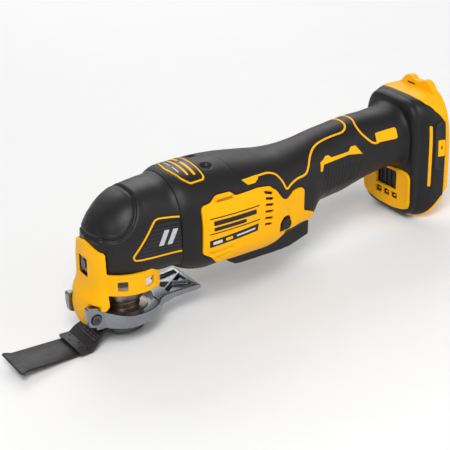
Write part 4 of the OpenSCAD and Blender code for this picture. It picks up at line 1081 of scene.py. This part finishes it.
def build_metalwork():
    cast_piece("lever_casting", "clamp_lever", 0.36, 5, "lever", "alloy")
    cast_piece("trigger_paddle", "trigger", 0.6, 12, "trigger", "black")
    for name, node, width, segments, body, look, slot in EDGED:
        finished(bevelled(cad_copy(name, node), width, segments), body, look, [node], 30)
    # Pressed dimples across the blade's mount
    z = DIMPLE_Z
    for k, (x, y) in enumerate(DIMPLES):
        spot = lathe([(0.02, z + 0.4), (0.6, z + 0.37), (1.05, z + 0.2), (1.3, z - 0.3),
                      (0.02, z - 0.3)], 32)
        spot.data.transform(Matrix.Translation((x * MM, y * MM, 0)))
        spot.name = f"blade_dimple_{k}"
        finished(spot, "spindle", "blade", sharp_angle=40)
    # Plain printed frame on the bracket's slope
    outer = rounded([(-28, -12.5), (-24.4, -12.5), (-24.4, 8), (-28, 8)], 0.5, 2)
    inner = rounded([(-27.5, -12), (-24.9, -12), (-24.9, 7.5), (-27.5, 7.5)], 0.3, 2)
    plate("blade_frame", outer, on_slope, 0.06, "blade_print", "spindle",
          holes=[inner], edge=0.03, drop_to=-0.2)
    for k in range(4):
        y = -10 + 4.6 * k
        bar_plate(f"blade_mark_{k}", (-26.2, y), (-26.2, y + 3.2), 0.45, on_slope, 0.06,
                  "blade_print", edge=0.03, drop_to=-0.2, body="spindle")


CAD_LOOKS = {
    # The gear case takes the near-black alloy: painted shade inside the guard's windows
    "alloy_painted_shade": ["gear_case"],
    "alloy": ["motor_bracket"],
    "dark_steel": ["top_screws", "housing_screws"],
    "steel": ["front_motor_bearing", "rear_motor_bearing", "lower_spindle_bearing", "fork",
              "upper_spindle_bearing", "eccentric_bearing", "trigger_pin", "motor_shaft"],
    "spring": ["clamp_spring", "trigger_spring"],
    "core": ["stator", "rotor_core"],
    "copper": ["windings"],
    "brass": ["terminals", "counterweight"],
    # led_board is black so that the lamp behind the beak's window reads dark: painted shade; the other
    # nodes here are black plastic
    "black": ["control_module", "switch", "led_board", "fan"],
    "board": ["motor_board"],
    "red": ["power_leads"],
    "blue": ["phase_leads"],
    "lens": ["led_lens"]}


def dress_cad_nodes():
    for look, nodes in CAD_LOOKS.items():
        for node in nodes:
            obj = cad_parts[node]
            for place in obj.material_slots:
                place.material = MAT[look]
            if not obj.material_slots:
                obj.data.materials.append(MAT[look])


# ---- stage

def build_stage():
    """Pale floor through the blade's heel and the foot's lower edge, where the tool rests."""
    low_front = Vector((-33 * MM, 0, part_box("blade")[0][2]))
    low_rear = Vector((237 * MM, 0, 23.9 * MM))
    tilt = math.atan2(low_rear.z - low_front.z, low_rear.x - low_front.x)
    rim = circle(2.2)
    mesh = bpy.data.meshes.new("floor")
    mesh.from_pydata([(x, y, 0) for x, y in rim], [], [tuple(range(len(rim)))])
    mesh.materials.append(MAT["floor"])
    floor = linked("floor", mesh)
    floor.rotation_euler = (0, -tilt, 0)
    floor.location = low_front - Vector((0, 0, 0.2 * MM))


def area_light(name, where, target, size, power):
    data = bpy.data.lights.new(name, "AREA")
    data.shape = "RECTANGLE"
    data.size, data.size_y = size
    data.energy = power
    light = linked(name, data)
    light.location = where
    light.rotation_euler = (Vector(target) - Vector(where)).to_track_quat("-Z", "Y").to_euler()


def build_lights():
    middle = (0.09, 0, 0.06)
    area_light("key", (-0.55, -0.75, 1.15), middle, (0.8, 0.8), 15)
    area_light("fill", (0.9, -1.0, 0.7), middle, (1.2, 1.0), 4)
    area_light("back", (0.5, 1.1, 0.9), middle, (1.4, 0.8), 9)
    world = bpy.data.worlds.new("studio")
    world.use_nodes = True
    set_inputs(world.node_tree.nodes["Background"], Color=(1, 1, 1, 1), Strength=0.38)
    bpy.context.scene.world = world
    bpy.context.scene.view_settings.view_transform = "Standard"


def build_camera():
    """Seen from ahead, above and the near side."""
    turn, lift, roll = (math.radians(a) for a in (-32.0325, 24.2059, 0.5712))
    back = Vector((math.sin(turn) * math.cos(lift), -math.cos(turn) * math.cos(lift), math.sin(lift)))
    right = Vector((math.cos(turn), math.sin(turn), 0))
    up = back.cross(right)
    side = math.cos(roll) * right - math.sin(roll) * up
    rise = math.sin(roll) * right + math.cos(roll) * up
    data = bpy.data.cameras.new("camera")
    data.lens = 109.2
    data.sensor_width = 36
    camera = linked("camera", data)
    place = Matrix((side, rise, back)).transposed().to_4x4()
    place.translation = Vector((-373.47, -728.22, 432.35)) * MM
    camera.matrix_world = place
    bpy.context.scene.camera = camera


build_camera()
build_stage()
build_lights()
head_skin = build_head()
rear_skin = build_rear()
build_plates(head_skin, rear_skin)
build_guard()
build_metalwork()
dress_cad_nodes()
